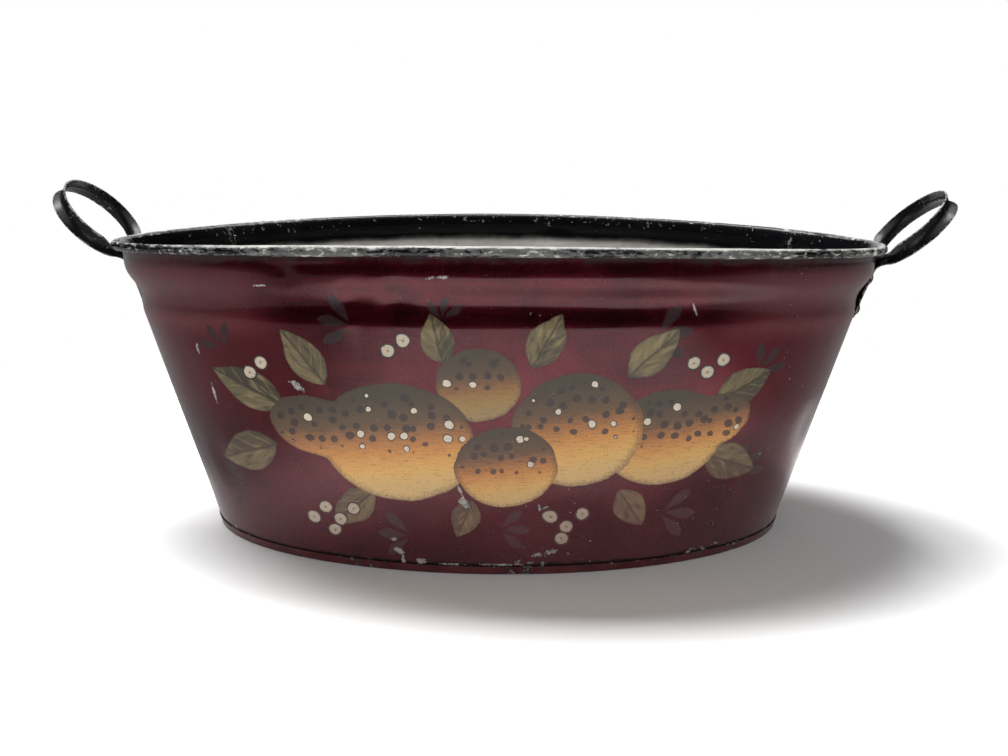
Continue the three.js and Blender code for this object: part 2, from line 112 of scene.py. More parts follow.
def wall_half(axis, height):
    """Half the length (axis 0) or width (axis 1) of the wall at a height, in the middle of the sheet."""
    rim_height = RIM_HEIGHT + axis * SIDE_RISE
    spread = RIM_OVAL[axis] - FOOT_OVAL[axis]
    lean = math.atan2(spread - ROLL_RADIUS, rim_height)
    share = height / (rim_height + ROLL_RADIUS * math.sin(lean))
    taper = FOOT_OVAL[axis] + share * (spread - ROLL_RADIUS * math.cos(lean))
    return taper + shoulder(rim_height - height)


def wall_row(height, lift):
    """One ring of the wall: half length, half width, height and its share of the rise of the long sides."""
    return (wall_half(0, height), wall_half(1, height + lift * SIDE_RISE), height, lift)


taper_top = RIM_HEIGHT - SHOULDER_END
taper_heights = [FOOT_HEIGHT] + list(np.linspace(LOCK_FOOT_HEIGHT, taper_top, TAPER_ROWS))
wall_rows = [wall_row(z, (z - FOOT_HEIGHT) / (taper_top - FOOT_HEIGHT)) for z in taper_heights]
shoulder_depths = np.linspace(SHOULDER_END, LOCK_TOP_DEPTH, SHOULDER_ROWS + 1)[1:]
wall_rows += [wall_row(RIM_HEIGHT - depth, 1) for depth in shoulder_depths]
lock_top_row = len(wall_rows) - 1
wall_rows += [wall_row(RIM_HEIGHT - depth, 1) for depth in NECK_DEPTHS]
wall_row_count = len(wall_rows)
for step in range(ROLL_STEPS + 1):
    angle = math.radians(ROLL_START - ROLL_SWEEP * step / ROLL_STEPS)
    out, up = ROLL_RADIUS * math.cos(angle), ROLL_RADIUS * math.sin(angle)
    wall_rows.append((RIM_OVAL[0] + out, RIM_OVAL[1] + out, RIM_HEIGHT + up, 1))


def distances_along(points):
    """How far along a line of points each of them lies."""
    return np.concatenate([[0], np.cumsum(np.linalg.norm(np.diff(points, axis=0), axis=1))])


# How far each ring lies down the section from the crown of the bead, outside; less than 0 beyond it
run_up = distances_along(np.array(wall_rows)[:, 1:3])
crown_row = max(range(len(wall_rows)), key=lambda i: wall_rows[i][2])
down_of_row = run_up[crown_row] - run_up

# How far round the rim each column lies, from the left-hand seam by way of the front
angles = np.radians(np.arange(COLUMNS + 1) + SEAM_LEFT)
rim_points = np.stack([RIM_OVAL[0] * np.cos(angles), RIM_OVAL[1] * np.sin(angles)], 1)
round_of_column = distances_along(rim_points)


def begin_ring(name, row):
    """Adds a ring of the tub's oval as a new piece, in edit mode."""
    bpy.ops.object.select_all(action="DESELECT")
    bpy.ops.mesh.primitive_circle_add(vertices=COLUMNS, radius=1)
    piece = bpy.context.object
    piece.name = piece.data.name = name
    bpy.ops.object.mode_set(mode="EDIT")
    bpy.ops.mesh.select_all(action="SELECT")
    bpy.ops.transform.resize(value=(row[0], row[1], 1), center_override=(0, 0, 0))
    bpy.ops.transform.translate(value=(0, 0, row[2]))
    return piece


def draw_on(row, to_row):
    """Draws the selected ring out to the next one."""
    climb = to_row[2] - row[2]
    bpy.ops.mesh.extrude_region_move(TRANSFORM_OT_translate={"value": (0, 0, climb)})
    size = (to_row[0] / row[0], to_row[1] / row[1], 1)
    bpy.ops.transform.resize(value=size, center_override=(0, 0, to_row[2]))


def mark_down(piece, down):
    """Notes on the selected points how far down they lie, for the paint to follow."""
    mesh = bmesh.from_edit_mesh(piece.data)
    layer = mesh.verts.layers.float.get("down") or mesh.verts.layers.float.new("down")
    for point in mesh.verts:
        if point.select:
            point[layer] = down
    bmesh.update_edit_mesh(piece.data)


def column_of(place):
    """The column of the oval that a place on the wall lies in, in degrees from the right-hand end."""
    return math.degrees(math.atan2(place[1] * RIM_OVAL[0] / RIM_OVAL[1], place[0])) % 360


def whole_column(place):
    return round(column_of(place)) % COLUMNS


def select_where(piece, kind, test):
    """Selects the points, edges or faces of a piece, in edit mode, that pass a test."""
    bpy.ops.mesh.select_mode(type=kind)
    bpy.ops.mesh.select_all(action="DESELECT")
    mesh = bmesh.from_edit_mesh(piece.data)
    for item in {"VERT": mesh.verts, "EDGE": mesh.edges, "FACE": mesh.faces}[kind]:
        item.select = test(item)
    mesh.select_flush_mode()
    bmesh.update_edit_mesh(piece.data)


def make_active(piece):
    bpy.ops.object.select_all(action="DESELECT")
    piece.select_set(True)
    bpy.context.view_layer.objects.active = piece


def copied(piece, name):
    make_active(piece)
    bpy.ops.object.duplicate()
    copy = bpy.context.object
    copy.name = copy.data.name = name
    return copy


def displace(piece, name, strength, level, texture=None, group="", way="NORMAL"):
    """Adds a modifier that moves the points of a group, or all of them, by a texture or by one length."""
    shift = piece.modifiers.new(name, "DISPLACE")
    shift.texture = texture
    shift.texture_coords = "LOCAL"
    shift.direction = way
    shift.strength = strength
    shift.mid_level = level
    shift.vertex_group = group


def apply_modifiers(piece):
    make_active(piece)
    for modifier in list(piece.modifiers):
        bpy.ops.object.modifier_apply(modifier=modifier.name)


front_sheet = begin_ring("front_sheet", wall_rows[0])
mark_down(front_sheet, down_of_row[0])
for i in range(1, len(wall_rows)):
    draw_on(wall_rows[i - 1], wall_rows[i])
    mark_down(front_sheet, down_of_row[i])
bpy.ops.mesh.select_all(action="SELECT")
bpy.ops.mesh.flip_normals()
bpy.ops.object.mode_set(mode="OBJECT")

# The rise of the long sides, and the slight waves of a hand-made sheet
WAVES = (("broad_waves", 0.11, 0.0022), ("small_waves", 0.035, 0.0006))
WAVE_LEVEL = 0.5
WAVE_FADE = 0.03
END_QUIET, WAVE_AT_ENDS = 0.06, 0.25
BEAD_QUIET, WAVE_IN_BEAD = 0.008, 0.35
bead_down = down_of_row[wall_row_count]
lift_of_down = {round(float(d), 5): row[3] for d, row in zip(down_of_row, wall_rows)}
downs = [item.value for item in front_sheet.data.attributes["down"].data]
columns = [whole_column(point.co) for point in front_sheet.data.vertices]
rounds = front_sheet.data.attributes.new("round", "FLOAT", "POINT")
rounds.data.foreach_set("value", [round_of_column[(column - SEAM_LEFT) % COLUMNS] for column in columns])
lift_group = front_sheet.vertex_groups.new(name="lift")
wave_group = front_sheet.vertex_groups.new(name="wave")
for point, down, column in zip(front_sheet.data.vertices, downs, columns):
    side = math.sin(math.radians(column)) ** 2
    lift_group.add([point.index], lift_of_down[round(down, 5)] * side, "REPLACE")
    from_end = min(abs(point.co.y) / END_QUIET, 1)
    foot = held((point.co.z - LOCK_FOOT_HEIGHT) / WAVE_FADE)
    wave = foot * (WAVE_AT_ENDS + (1 - WAVE_AT_ENDS) * from_end)
    wave *= 1 if down > bead_down + BEAD_QUIET else WAVE_IN_BEAD
    wave_group.add([point.index], wave, "REPLACE")

displace(front_sheet, "rise", SIDE_RISE, 0, group="lift", way="Z")
for name, scale, strength in WAVES:
    clouds = bpy.data.textures.new(name, "CLOUDS")
    clouds.noise_scale = scale
    clouds.noise_depth = 1
    displace(front_sheet, name, strength, WAVE_LEVEL, clouds, "wave")
apply_modifiers(front_sheet)

# Dents: where the blow fell, which way and how far it pushed the sheet, and how wide the dent is
DENTS = [
    ((-0.137, -0.150, 0.208), (0.2, 1, 0), 0.0016, 0.013),
    ((-0.092, -0.160, 0.190), (0, 1, 0.2), 0.0018, 0.016),
    ((-0.098, -0.158, 0.176), (0, -1, 0), 0.0012, 0.010),
    ((-0.064, -0.160, 0.196), (0, 1, 0), 0.0012, 0.014),
    ((0.047, 0.165, 0.196), (0, -1, 0), 0.0026, 0.026),
    ((-0.150, 0.142, 0.120), (0.3, -1, 0), 0.0022, 0.030),
    ((0.120, 0.150, 0.060), (-0.2, -1, 0), 0.0018, 0.024),
    ((0.238, -0.060, 0.090), (-1, 0.4, 0), 0.0020, 0.028),
    ((-0.205, -0.085, 0.060), (1, 0.5, 0), 0.0016, 0.022),
    ((0.250, 0.083, 0.214), (-1, -0.8, 0.3), 0.0014, 0.018),
]
bpy.ops.object.mode_set(mode="EDIT")
for place, way, depth, width in DENTS:
    places = np.array([point.co for point in bmesh.from_edit_mesh(front_sheet.data).verts])
    nearest = int(np.argmin(np.linalg.norm(places - np.array(place), axis=1)))
    select_where(front_sheet, "VERT", lambda point: point.index == nearest)
    bpy.ops.transform.translate(
        value=Vector(way).normalized() * depth,
        use_proportional_edit=True,
        proportional_edit_falloff="SMOOTH",
        proportional_size=width,
    )
bpy.ops.object.mode_set(mode="OBJECT")
back_sheet = copied(front_sheet, "back_sheet")


# THE GROOVED SEAMS
# At each back quarter the edge of the front sheet is folded out and back over itself. The edge of the back
# sheet steps over that fold and turns in behind it, and the two are hammered flat into one raised lock.
SEAM_WIDTH = 0.006
FOLD_STEPS = 6
WALL_LEAN = 0.24  # how far the way out of the wall dips for each metre out
END_REACH = 2.5  # the edges this near to a seam, in degrees, are the ends of its sheets
TOLERANCE = 1e-5
SHEET_SMOOTH = 50


def bend(middle, radius, start, end):
    turn = np.radians(np.linspace(start, end, FOLD_STEPS + 1))
    return [(middle[0] + radius * math.cos(t), middle[1] + radius * math.sin(t)) for t in turn]


front_fold = bend((0, LAYER), LAYER, -90, 90) + [(PLAY - SEAM_WIDTH, 2 * LAYER)]
back_fold = [(3 * LAYER, 0)] + bend((0, LAYER), 2 * LAYER, 0, 90)
back_fold += bend((-SEAM_WIDTH, 2 * LAYER), LAYER, 90, 270) + [(-2 * PLAY, LAYER)]


def seam_frame(column):
    """Which way the sheet runs on past its end at a seam, and which way is out of the wall there."""
    angle = math.radians(column)
    out = Vector((math.cos(angle) / RIM_OVAL[0], math.sin(angle) / RIM_OVAL[1], 0)).normalized()
    on = Vector((-out.y, out.x, 0)) * (1 if column == SEAM_RIGHT else -1)
    return on, (out - Vector((0, 0, WALL_LEAN))).normalized()


def in_lock(point, down_layer):
    down = point[down_layer]
    return down_of_row[lock_top_row] - TOLERANCE < down < down_of_row[1] + TOLERANCE


def fold_edge(piece, column, fold):
    """Draws the end of a sheet at a seam out along the fold."""
    on, out = seam_frame(column)
    mesh = bmesh.from_edit_mesh(piece.data)
    down_layer = mesh.verts.layers.float["down"]

    def is_end(edge):
        if not edge.is_boundary:
            return False
        a, b = (point.co for point in edge.verts)
        gap = (column_of((a + b) / 2) - column + 180) % 360 - 180
        is_upright = abs(a.z - b.z) > 10 * TOLERANCE
        return abs(gap) < END_REACH and is_upright and all(in_lock(v, down_layer) for v in edge.verts)

    select_where(piece, "EDGE", is_end)
    for before, after in zip(fold, fold[1:]):
        shift = on * (after[0] - before[0]) + out * (after[1] - before[1])
        bpy.ops.mesh.extrude_region_move(TRANSFORM_OT_translate={"value": shift})


def to_sheet(piece, outside_finish, inside_finish):
    """Gives a drawn surface the thickness of the sheet, and each of its two faces its finish."""
    piece.data.materials.append(outside_finish)
    piece.data.materials.append(inside_finish)
    solid = piece.modifiers.new("sheet", "SOLIDIFY")
    solid.thickness = SHEET
    solid.offset = 0
    solid.use_even_offset = True
    solid.material_offset = 1
    apply_modifiers(piece)
    bpy.ops.object.shade_smooth_by_angle(angle=math.radians(SHEET_SMOOTH))


make_active(front_sheet)
bpy.ops.object.mode_set(mode="EDIT")
select_where(front_sheet, "FACE", lambda face: SEAM_RIGHT < column_of(face.calc_center_median()) < SEAM_LEFT)
bpy.ops.mesh.delete(type="FACE")
for column in (SEAM_RIGHT, SEAM_LEFT):
    fold_edge(front_sheet, column, front_fold)
bpy.ops.object.mode_set(mode="OBJECT")

make_active(back_sheet)
bpy.ops.object.mode_set(mode="EDIT")
mesh = bmesh.from_edit_mesh(back_sheet.data)
down_layer = mesh.verts.layers.float["down"]
ends = {}
for point in mesh.verts:
    column = whole_column(point.co)
    if column in (SEAM_RIGHT, SEAM_LEFT):
        ends.setdefault((column, round(point[down_layer], 5)), point.co.copy())
select_where(
    back_sheet, "FACE", lambda face: not SEAM_RIGHT + 1 < column_of(face.calc_center_median()) < SEAM_LEFT - 1
)
bpy.ops.mesh.delete(type="FACE")
mesh = bmesh.from_edit_mesh(back_sheet.data)
down_layer = mesh.verts.layers.float["down"]
for point in mesh.verts:
    column = whole_column(point.co)
    for seam, first in ((SEAM_RIGHT, SEAM_RIGHT + 1), (SEAM_LEFT, SEAM_LEFT - 1)):
        if column == first and point.is_boundary:
            on, out = seam_frame(seam)
            reach = back_fold[0][0] if in_lock(point, down_layer) else PLAY
            point.co = ends[(seam, round(point[down_layer], 5))] + on * reach
bmesh.update_edit_mesh(back_sheet.data)
for column in (SEAM_RIGHT, SEAM_LEFT):
    fold_edge(back_sheet, column, back_fold)
bpy.ops.object.mode_set(mode="OBJECT")


# THE PAINT OF THE WALL
# Deep crimson enamel outside, brushed on thin over a pale ground that shows in the chips, with fruit, leaves
# and berries painted on the front. The bead and the inside are japanned black: the bead is worn to grey, with
# a painted highlight along its crown in front, and below the neck the inside turns to a grey metal band, a
# painted reflection.
CRIMSON_DEEP = (0.040, 0.0012, 0.0045)
CRIMSON = (0.094, 0.0046, 0.0116)
CRIMSON_WORN = (0.150, 0.0260, 0.0330)
# A brighter crimson, painted in for the reflection towards the ends
CRIMSON_REFLECTION = (0.200, 0.0100, 0.0220)
JAPAN, JAPAN_DULL, JAPAN_RUBBED = (0.0045, 0.0045, 0.0058), (0.030, 0.029, 0.028), (0.150, 0.147, 0.140)
# The worn grey of the bead, and a pale that serves for its chips and for a painted highlight on its crown
BEAD_GREY, BEAD_PALE_AND_HIGHLIGHT = (0.115, 0.114, 0.111), (0.520, 0.510, 0.480)
GROUND_PALE, GROUND_GREY = (0.360, 0.335, 0.305), (0.190, 0.180, 0.172)
# The dark of grime and painted shade, and the paler colour low on the wall
GRIME_AND_SHADE, FOOT_PALE = (0.014, 0.008, 0.009), (0.260, 0.098, 0.112)
# The grey metal band inside, below the neck: a painted reflection
SHEEN_GREY, SHEEN_GREY_STAINED = (0.285, 0.278, 0.256), (0.110, 0.104, 0.090)
PAINT_DEPTH, COAT_ROUGHNESS = 0.0003, 0.12
MM = 1000


class Value:
    """A number, colour or place that varies over a surface: an output of a finish's nodes."""

    def __init__(self, finish, socket):
        self.finish, self.socket = finish, socket

    def __add__(self, other):
        return self.finish.sum("ADD", self, other)

    def __sub__(self, other):
        return self.finish.sum("SUBTRACT", self, other)

    def __rsub__(self, other):
        return self.finish.sum("SUBTRACT", other, self)

    def __mul__(self, other):
        return self.finish.sum("MULTIPLY", self, other)

    def __abs__(self):
        return self.finish.sum("ABSOLUTE", self)

    __radd__ = __add__
    __rmul__ = __mul__


class Finish:
    """One finish: the nodes of its owner, which is a material or the surround."""

    def __init__(self, owner, coordinates="Object"):
        owner.use_nodes = True
        self.owner, self.tree = owner, owner.node_tree
        self.tree.nodes.clear()
        self.place = self.node("ShaderNodeTexCoord", {}, {}, coordinates)
        self.x, self.y, self.z = self.parts(self.place)

    def node(self, kind, settings, inputs, output=0):
        """Adds a node: its settings first, then the values or links of its sockets."""
        made = self.tree.nodes.new(kind)
        for key, value in settings.items():
            if key == "stops":
                while len(made.color_ramp.elements) < len(value):
                    made.color_ramp.elements.new(1)
                for stop, (position, colour) in zip(made.color_ramp.elements, value):
                    stop.position, stop.color = position, (*colour, 1)
            else:
                setattr(made, key, value)
        for key, value in inputs.items():
            if isinstance(value, Value):
                self.tree.links.new(value.socket, made.inputs[key])
            elif isinstance(value, tuple) and len(made.inputs[key].default_value) == 4:
                made.inputs[key].default_value = (*value, 1)
            else:
                made.inputs[key].default_value = value
        return made if output is None else Value(self, made.outputs[output])

    def sum(self, operation, *values):
        return self.node("ShaderNodeMath", {"operation": operation}, dict(enumerate(values)))

    def vector(self, operation, output, *values):
        return self.node("ShaderNodeVectorMath", {"operation": operation}, dict(enumerate(values)), output)

    def parts(self, vector):
        split = self.node("ShaderNodeSeparateXYZ", {}, {"Vector": vector}, None)
        return tuple(Value(self, split.outputs[axis]) for axis in "XYZ")

    def joined(self, x, y, z=0.0):
        return self.node("ShaderNodeCombineXYZ", {}, {"X": x, "Y": y, "Z": z})

    def noise(self, scale, detail=2, roughness=0.5, distortion=0, at=None):
        inputs = {"Scale": scale, "Detail": detail, "Roughness": roughness, "Distortion": distortion}
        return self.node("ShaderNodeTexNoise", {}, {"Vector": at or self.place, **inputs}, "Fac")

    def streaks(self, detail, roughness, *place, distortion=0):
        """Noise at a place whose numbers are each scaled in their own way, which draws it out."""
        return self.noise(1, detail, roughness, distortion, self.joined(*place))

    def between(self, value, low, high):
        """0 at low, 1 at high and smooth between them. Low may be the larger one."""
        if low > high:
            return 1 - self.between(value, high, low)
        settings = {"interpolation_type": "SMOOTHSTEP"}
        inputs = {"Value": value, "From Min": low, "From Max": high}
        return self.node("ShaderNodeMapRange", settings, inputs, "Result")

    def mix(self, share, a, b):
        return self.node("ShaderNodeMix", {"data_type": "RGBA"}, {0: share, 6: a, 7: b}, 2)

    def pick(self, share, a, b):
        return self.node("ShaderNodeMix", {"data_type": "FLOAT"}, {0: share, 2: a, 3: b}, 0)

    def least(self, a, b):
        return self.sum("MINIMUM", a, b)

    def most(self, a, b):
        return self.sum("MAXIMUM", a, b)

    def attribute(self, name):
        return self.node("ShaderNodeAttribute", {"attribute_name": name}, {}, "Fac")

    def seen_from(self, board, x, y, length, width, angle):
        """A place on the board as seen from a motif with its own middle, turn and half sizes."""
        turn = math.radians(angle)
        axes = ((math.cos(turn), math.sin(turn), length), (-math.sin(turn), math.cos(turn), width))
        seen = []
        for right, up, size in axes:
            start = self.sum("MULTIPLY_ADD", board[1], up / size, -(x * right + y * up) / size)
            seen.append(self.sum("MULTIPLY_ADD", board[0], right / size, start))
        return seen

    def round_at(self, board, *motif):
        """How far out a place lies in an oval motif, squared: 1 on its outline."""
        p, q = self.seen_from(board, *motif)
        return self.sum("MULTIPLY_ADD", p, p, q * q)

    def lay(self, colour, roughness, metallic, relief, depth, coat=0.0, specular=0.5):
        """Joins the finish to its shader. Depth is how many metres a relief of 1 stands proud."""
        inputs = {"Height": relief, "Distance": depth, "Strength": 1.0}
        bump = self.node("ShaderNodeBump", {}, inputs, "Normal")
        inputs = {"Base Color": colour, "Roughness": roughness, "Metallic": metallic, "Normal": bump}
        inputs.update({"Coat Weight": coat, "Coat Roughness": COAT_ROUGHNESS, "Specular IOR Level": specular})
        shader = self.node("ShaderNodeBsdfPrincipled", {}, inputs, "BSDF")
        self.node("ShaderNodeOutputMaterial", {}, {"Surface": shader}, None)
        return self.owner

    def rays(self):
        """Whether a ray is the camera's own, a reflection, or one that has passed through."""
        ray = self.node("ShaderNodeLightPath", {}, {}, None)
        names = ("Is Camera Ray", "Is Glossy Ray", "Is Transmission Ray")
        return [Value(self, ray.outputs[name]) for name in names]


def new_finish(name):
    return Finish(bpy.data.materials.new(name))


def crimson_enamel(finish, along, down):
    """The brushed enamel: its colour, its relief and its mottle."""
    strokes = finish.streaks(3, 0.6, along * 30, down * 500)
    cross_strokes = finish.streaks(2, 0.6, along * 420, down * 40)
    mottle = finish.noise(22, 5, 0.65, 0.4)
    grain = finish.noise(620, 3, 0.7)
    cloud = finish.noise(6, 2)
    depth = strokes * 0.15 + cross_strokes * 0.08 + mottle * 0.40 + grain * 0.37
    colour = finish.mix(finish.between(depth, 0.40, 0.60), CRIMSON_DEEP, CRIMSON)
    worn = finish.between(cloud + (mottle - 0.5) * 0.6, 0.50, 0.80) * 0.5
    colour = finish.mix(worn, colour, CRIMSON_WORN)
    return colour, strokes * 0.28 + cross_strokes * 0.15 + grain * 0.57, mottle


def flaked(finish, scale, share):
    """Ragged flakes of lost paint: 1 in a flake. Share is about 0.1 for few and 0.4 for many."""
    return finish.between(finish.noise(scale, 3, 0.65, 0.3) + share * 0.5, 0.80, 0.815)


# The design: places, half sizes and turns in millimetres and degrees, across the front from its middle and up
# from the foot. Later fruit lie over earlier ones.
LEAF_DARK, LEAF_OLIVE, LEAF_VEIN, LEAF_RIB = (
    (0.046, 0.036, 0.018), (0.120, 0.092, 0.038), (0.260, 0.195, 0.085), (0.028, 0.020, 0.013)
)
LEAVES = (
    (-142, 116, 158, 58, 14), (-150, 88, 203, 52, 15), (-112, 134, 128, 46, 12), (-34, 152, 104, 34, 11),
    (22, 150, 62, 40, 12), (84, 142, 44, 46, 12), (146, 122, 24, 44, 13), (140, 84, -24, 46, 14),
    (82, 62, -58, 34, 11), (-16, 56, -112, 30, 10), (-82, 60, -138, 42, 12),
)
FRUIT = (
    ((-12, 138, 27, 25, 0),),
    ((112, 98, 42, 34, 8), (148, 108, 25, 18, 18)),
    ((52, 106, 43, 40, 0),),
    ((-66, 96, 52, 42, -6), (-122, 104, 32, 21, -10)),
    ((6, 80, 33, 29, 4),),
)
FRUIT_SKIN = (
    (0.02, (0.66, 0.46, 0.19)), (0.20, (0.70, 0.40, 0.105)), (0.38, (0.58, 0.25, 0.052)),
    (0.54, (0.340, 0.135, 0.036)), (0.70, (0.120, 0.066, 0.028)), (0.95, (0.048, 0.037, 0.022)),
)
PLUM_SKIN, FRUIT_EDGE = (0.060, 0.042, 0.026), (0.060, 0.036, 0.018)
FRUIT_BLEND = 0.5  # how softly the two lobes of one fruit run together
FRECKLE_SCALE = 0.106  # freckles for each millimetre
FRECKLE, RING = (0.030, 0.020, 0.019), (0.016, 0.011, 0.010)
BERRY_CREAM, BERRY_DULL, BERRY_EYE = (0.62, 0.54, 0.42), (0.36, 0.29, 0.20), (0.10, 0.075, 0.055)
BERRIES = (
    (-118, 44), (-108, 36), (-127, 35), (-98, 45), (-112, 27), (36, 44), (47, 36), (58, 45), (44, 27),
    (128, 150), (138, 143), (148, 151), (-166, 138), (-157, 146), (-70, 160), (-60, 167),
)
BERRY_SIZE = 4.6
LEAF_POINT = 0.25  # how much slimmer a leaf is towards its tip
SPRAY_BLACK = (0.008, 0.007, 0.009)
PETAL_SPREAD = 0.75  # the angle from one petal to the next
FRONT_FADE = (0.02, 0.03)  # how far in front of the middle of the tub the design ends
SPRAYS = (
    (-176, 52, 195, 27), (-58, 28, 180, 24), (100, 170, 5, 26), (112, 42, -8, 27), (168, 66, 35, 24),
    (-92, 176, 172, 24), (2, 34, 0, 21), (176, 140, 50, 22), (-184, 152, 125, 21), (-34, 180, 85, 16),
)


def spray_paint(finish, board, bristle):
    """Sprays of three petals, near black: their cover."""
    petal_p, petal_q = 2.0, 2.0
    for x, z, angle, size in SPRAYS:
        p, q = finish.seen_from(board, x, z, size, size, angle)
        is_near = finish.sum("LESS_THAN", finish.sum("MULTIPLY_ADD", p, p, q * q), 1.0)
        petal_p, petal_q = finish.pick(is_near, petal_p, p), finish.pick(is_near, petal_q, q)
    out = finish.sum("SQRT", petal_p * petal_p + petal_q * petal_q)
    turn = abs(finish.sum("ARCTAN2", petal_q, petal_p))
    turn = abs(turn - finish.sum("GREATER_THAN", turn, PETAL_SPREAD / 2) * PETAL_SPREAD)
    reach = finish.most(out * finish.sum("COSINE", turn), 0.0)
    petals = reach * reach * (1 - reach) * 1.15 - out * finish.sum("SINE", turn)
    return finish.between(petals + (bristle - 0.5) * 0.05, 0.0, 0.03) * (bristle * 0.5 + 0.52)


def leaf_shape(p, side):
    """How far inside a pointed leaf's outline a place lies, p along its midrib and off to the side of it."""
    return 1 - p * p - side * (p * LEAF_POINT + 1)


def leaf_paint(finish, board, bristle):
    """Leaves, two-toned along a dark midrib, with fine veins: their cover and colour."""
    leaf_p, leaf_q, own, leaf = 2.0, 2.0, 0.0, -1.0
    for number, (x, z, angle, size, width) in enumerate(LEAVES):
        turn = math.radians(angle)
        middle = (x + size / 2 * math.cos(turn), z + size / 2 * math.sin(turn))
        p, q = finish.seen_from(board, *middle, size / 2, width, angle)
        shape = leaf_shape(p, abs(q))
        is_in = finish.sum("GREATER_THAN", shape, -0.06)
        leaf_p, leaf_q = finish.pick(is_in, leaf_p, p), finish.pick(is_in, leaf_q, q)
        own = finish.pick(is_in, own, (number * 0.37) % 1)
        leaf = finish.most(leaf, shape)
    side = abs(leaf_q)
    green = finish.mix(finish.between(leaf_q + (bristle - 0.5) * 0.3, -0.05, 0.05), LEAF_DARK, LEAF_OLIVE)
    green = finish.mix(own * 0.35, green, LEAF_VEIN)
    swept = finish.streaks(3, 0.6, (leaf_p - side) * 2.2, side * 2.0 + own * 9, own * 5)
    green = finish.mix(finish.between(swept, 0.50, 0.72) * 0.75, green, LEAF_VEIN)
    green = finish.mix(finish.between(swept, 0.46, 0.34) * 0.60, green, LEAF_RIB)
    vein = finish.between(finish.sum("SINE", (leaf_p * 3.1 - side * 2.2) * 4.2), 0.70, 1)
    green = finish.mix(vein * 0.28, green, LEAF_VEIN)
    green = finish.mix((1 - finish.between(side, 0.04, 0.10)) * 0.7, green, LEAF_RIB)
    edge = 1 - finish.between(leaf_shape(leaf_p, side), 0.0, 0.16)
    green = finish.mix(edge * 0.55, green, LEAF_RIB)
    return finish.between(leaf, -0.03, 0.05), green


def freckled(finish, skin, place, high, near):
    """Freckles on the upper side of the fruit, a few of them cream with a dark ring."""
    settings = {"voronoi_dimensions": "2D"}
    inputs = {"Vector": place, "Scale": FRECKLE_SCALE, "Randomness": 0.78}
    spots = finish.node("ShaderNodeTexVoronoi", settings, inputs, None)
    far, own = Value(finish, spots.outputs["Distance"]), Value(finish, spots.outputs["Color"])
    own_size, own_kind, _ = finish.parts(own)
    reach = far - own_size * 0.13 + (1 - finish.between(high, -0.40, 0.05)) * 0.42
    reach = reach + finish.between(near, 0.62, 0.95) * 0.30
    is_pale = finish.sum("GREATER_THAN", own_kind, 0.80)
    freckle = (1 - finish.between(reach, 0.185, 0.225)) * (1 - is_pale)
    skin = finish.mix(freckle * 0.85, skin, FRECKLE)
    skin = finish.mix((1 - finish.between(reach, 0.225, 0.260)) * is_pale, skin, RING)
    return finish.mix((1 - finish.between(reach, 0.155, 0.195)) * is_pale, skin, BERRY_CREAM)


def fruit_paint(finish, board, place, bristle, fine):
    """Fruit, cream and amber below, orange in the middle and olive brown above: their cover and colour."""
    light, high, plum, near, fruit = 0.0, 0.0, 0.0, 2.0, 0.0
    for number, shapes in enumerate(FRUIT):
        far = finish.round_at(board, *shapes[0])
        for motif in shapes[1:]:
            inputs = {0: far, 1: finish.round_at(board, *motif), 2: FRUIT_BLEND}
            far = finish.node("ShaderNodeMath", {"operation": "SMOOTH_MIN"}, inputs)
        x, z, size, width, _ = shapes[0]
        is_in = finish.sum("LESS_THAN", far, 1.06)
        p, q = finish.seen_from(board, x, z, size * 1.05, width * 1.05, 0)
        light, high = finish.pick(is_in, light, p), finish.pick(is_in, high, q)
        near = finish.pick(is_in, near, far)
        plum = is_in if number == 0 else plum * (1 - is_in)
        fruit = finish.most(fruit, 1 - finish.between(far, 0.96, 1.04))
    tone = high - light * 0.16 + (bristle - 0.5) * 0.34 + (fine - 0.5) * 0.2
    tone = finish.between(tone, -1.1, 1.1)
    skin = finish.node("ShaderNodeValToRGB", {"stops": FRUIT_SKIN}, {"Fac": tone}, "Color")
    skin = finish.mix(plum * 0.62, skin, PLUM_SKIN)
    skin = freckled(finish, skin, place, high, near)
    return fruit, finish.mix(finish.between(near + (fine - 0.5) * 0.5, 0.78, 1.0) * 0.5, skin, FRUIT_EDGE)


def berry_paint(finish, place, fine):
    """Berries, cream with a smudged eye inside a dark ring: their cover and colour."""
    distances = [finish.vector("DISTANCE", "Value", place, (*berry, 0)) for berry in BERRIES]
    closest = functools.reduce(finish.least, distances)
    cream = finish.mix(fine, BERRY_DULL, BERRY_CREAM)
    cream = finish.mix((1 - finish.between(closest, 0.5, 1.3)) * 0.7, cream, BERRY_EYE)
    berry = finish.mix(1 - finish.between(closest, BERRY_SIZE - 0.7, BERRY_SIZE - 0.2), RING, cream)
    return 1 - finish.between(closest, BERRY_SIZE + 0.4, BERRY_SIZE + 0.9), berry


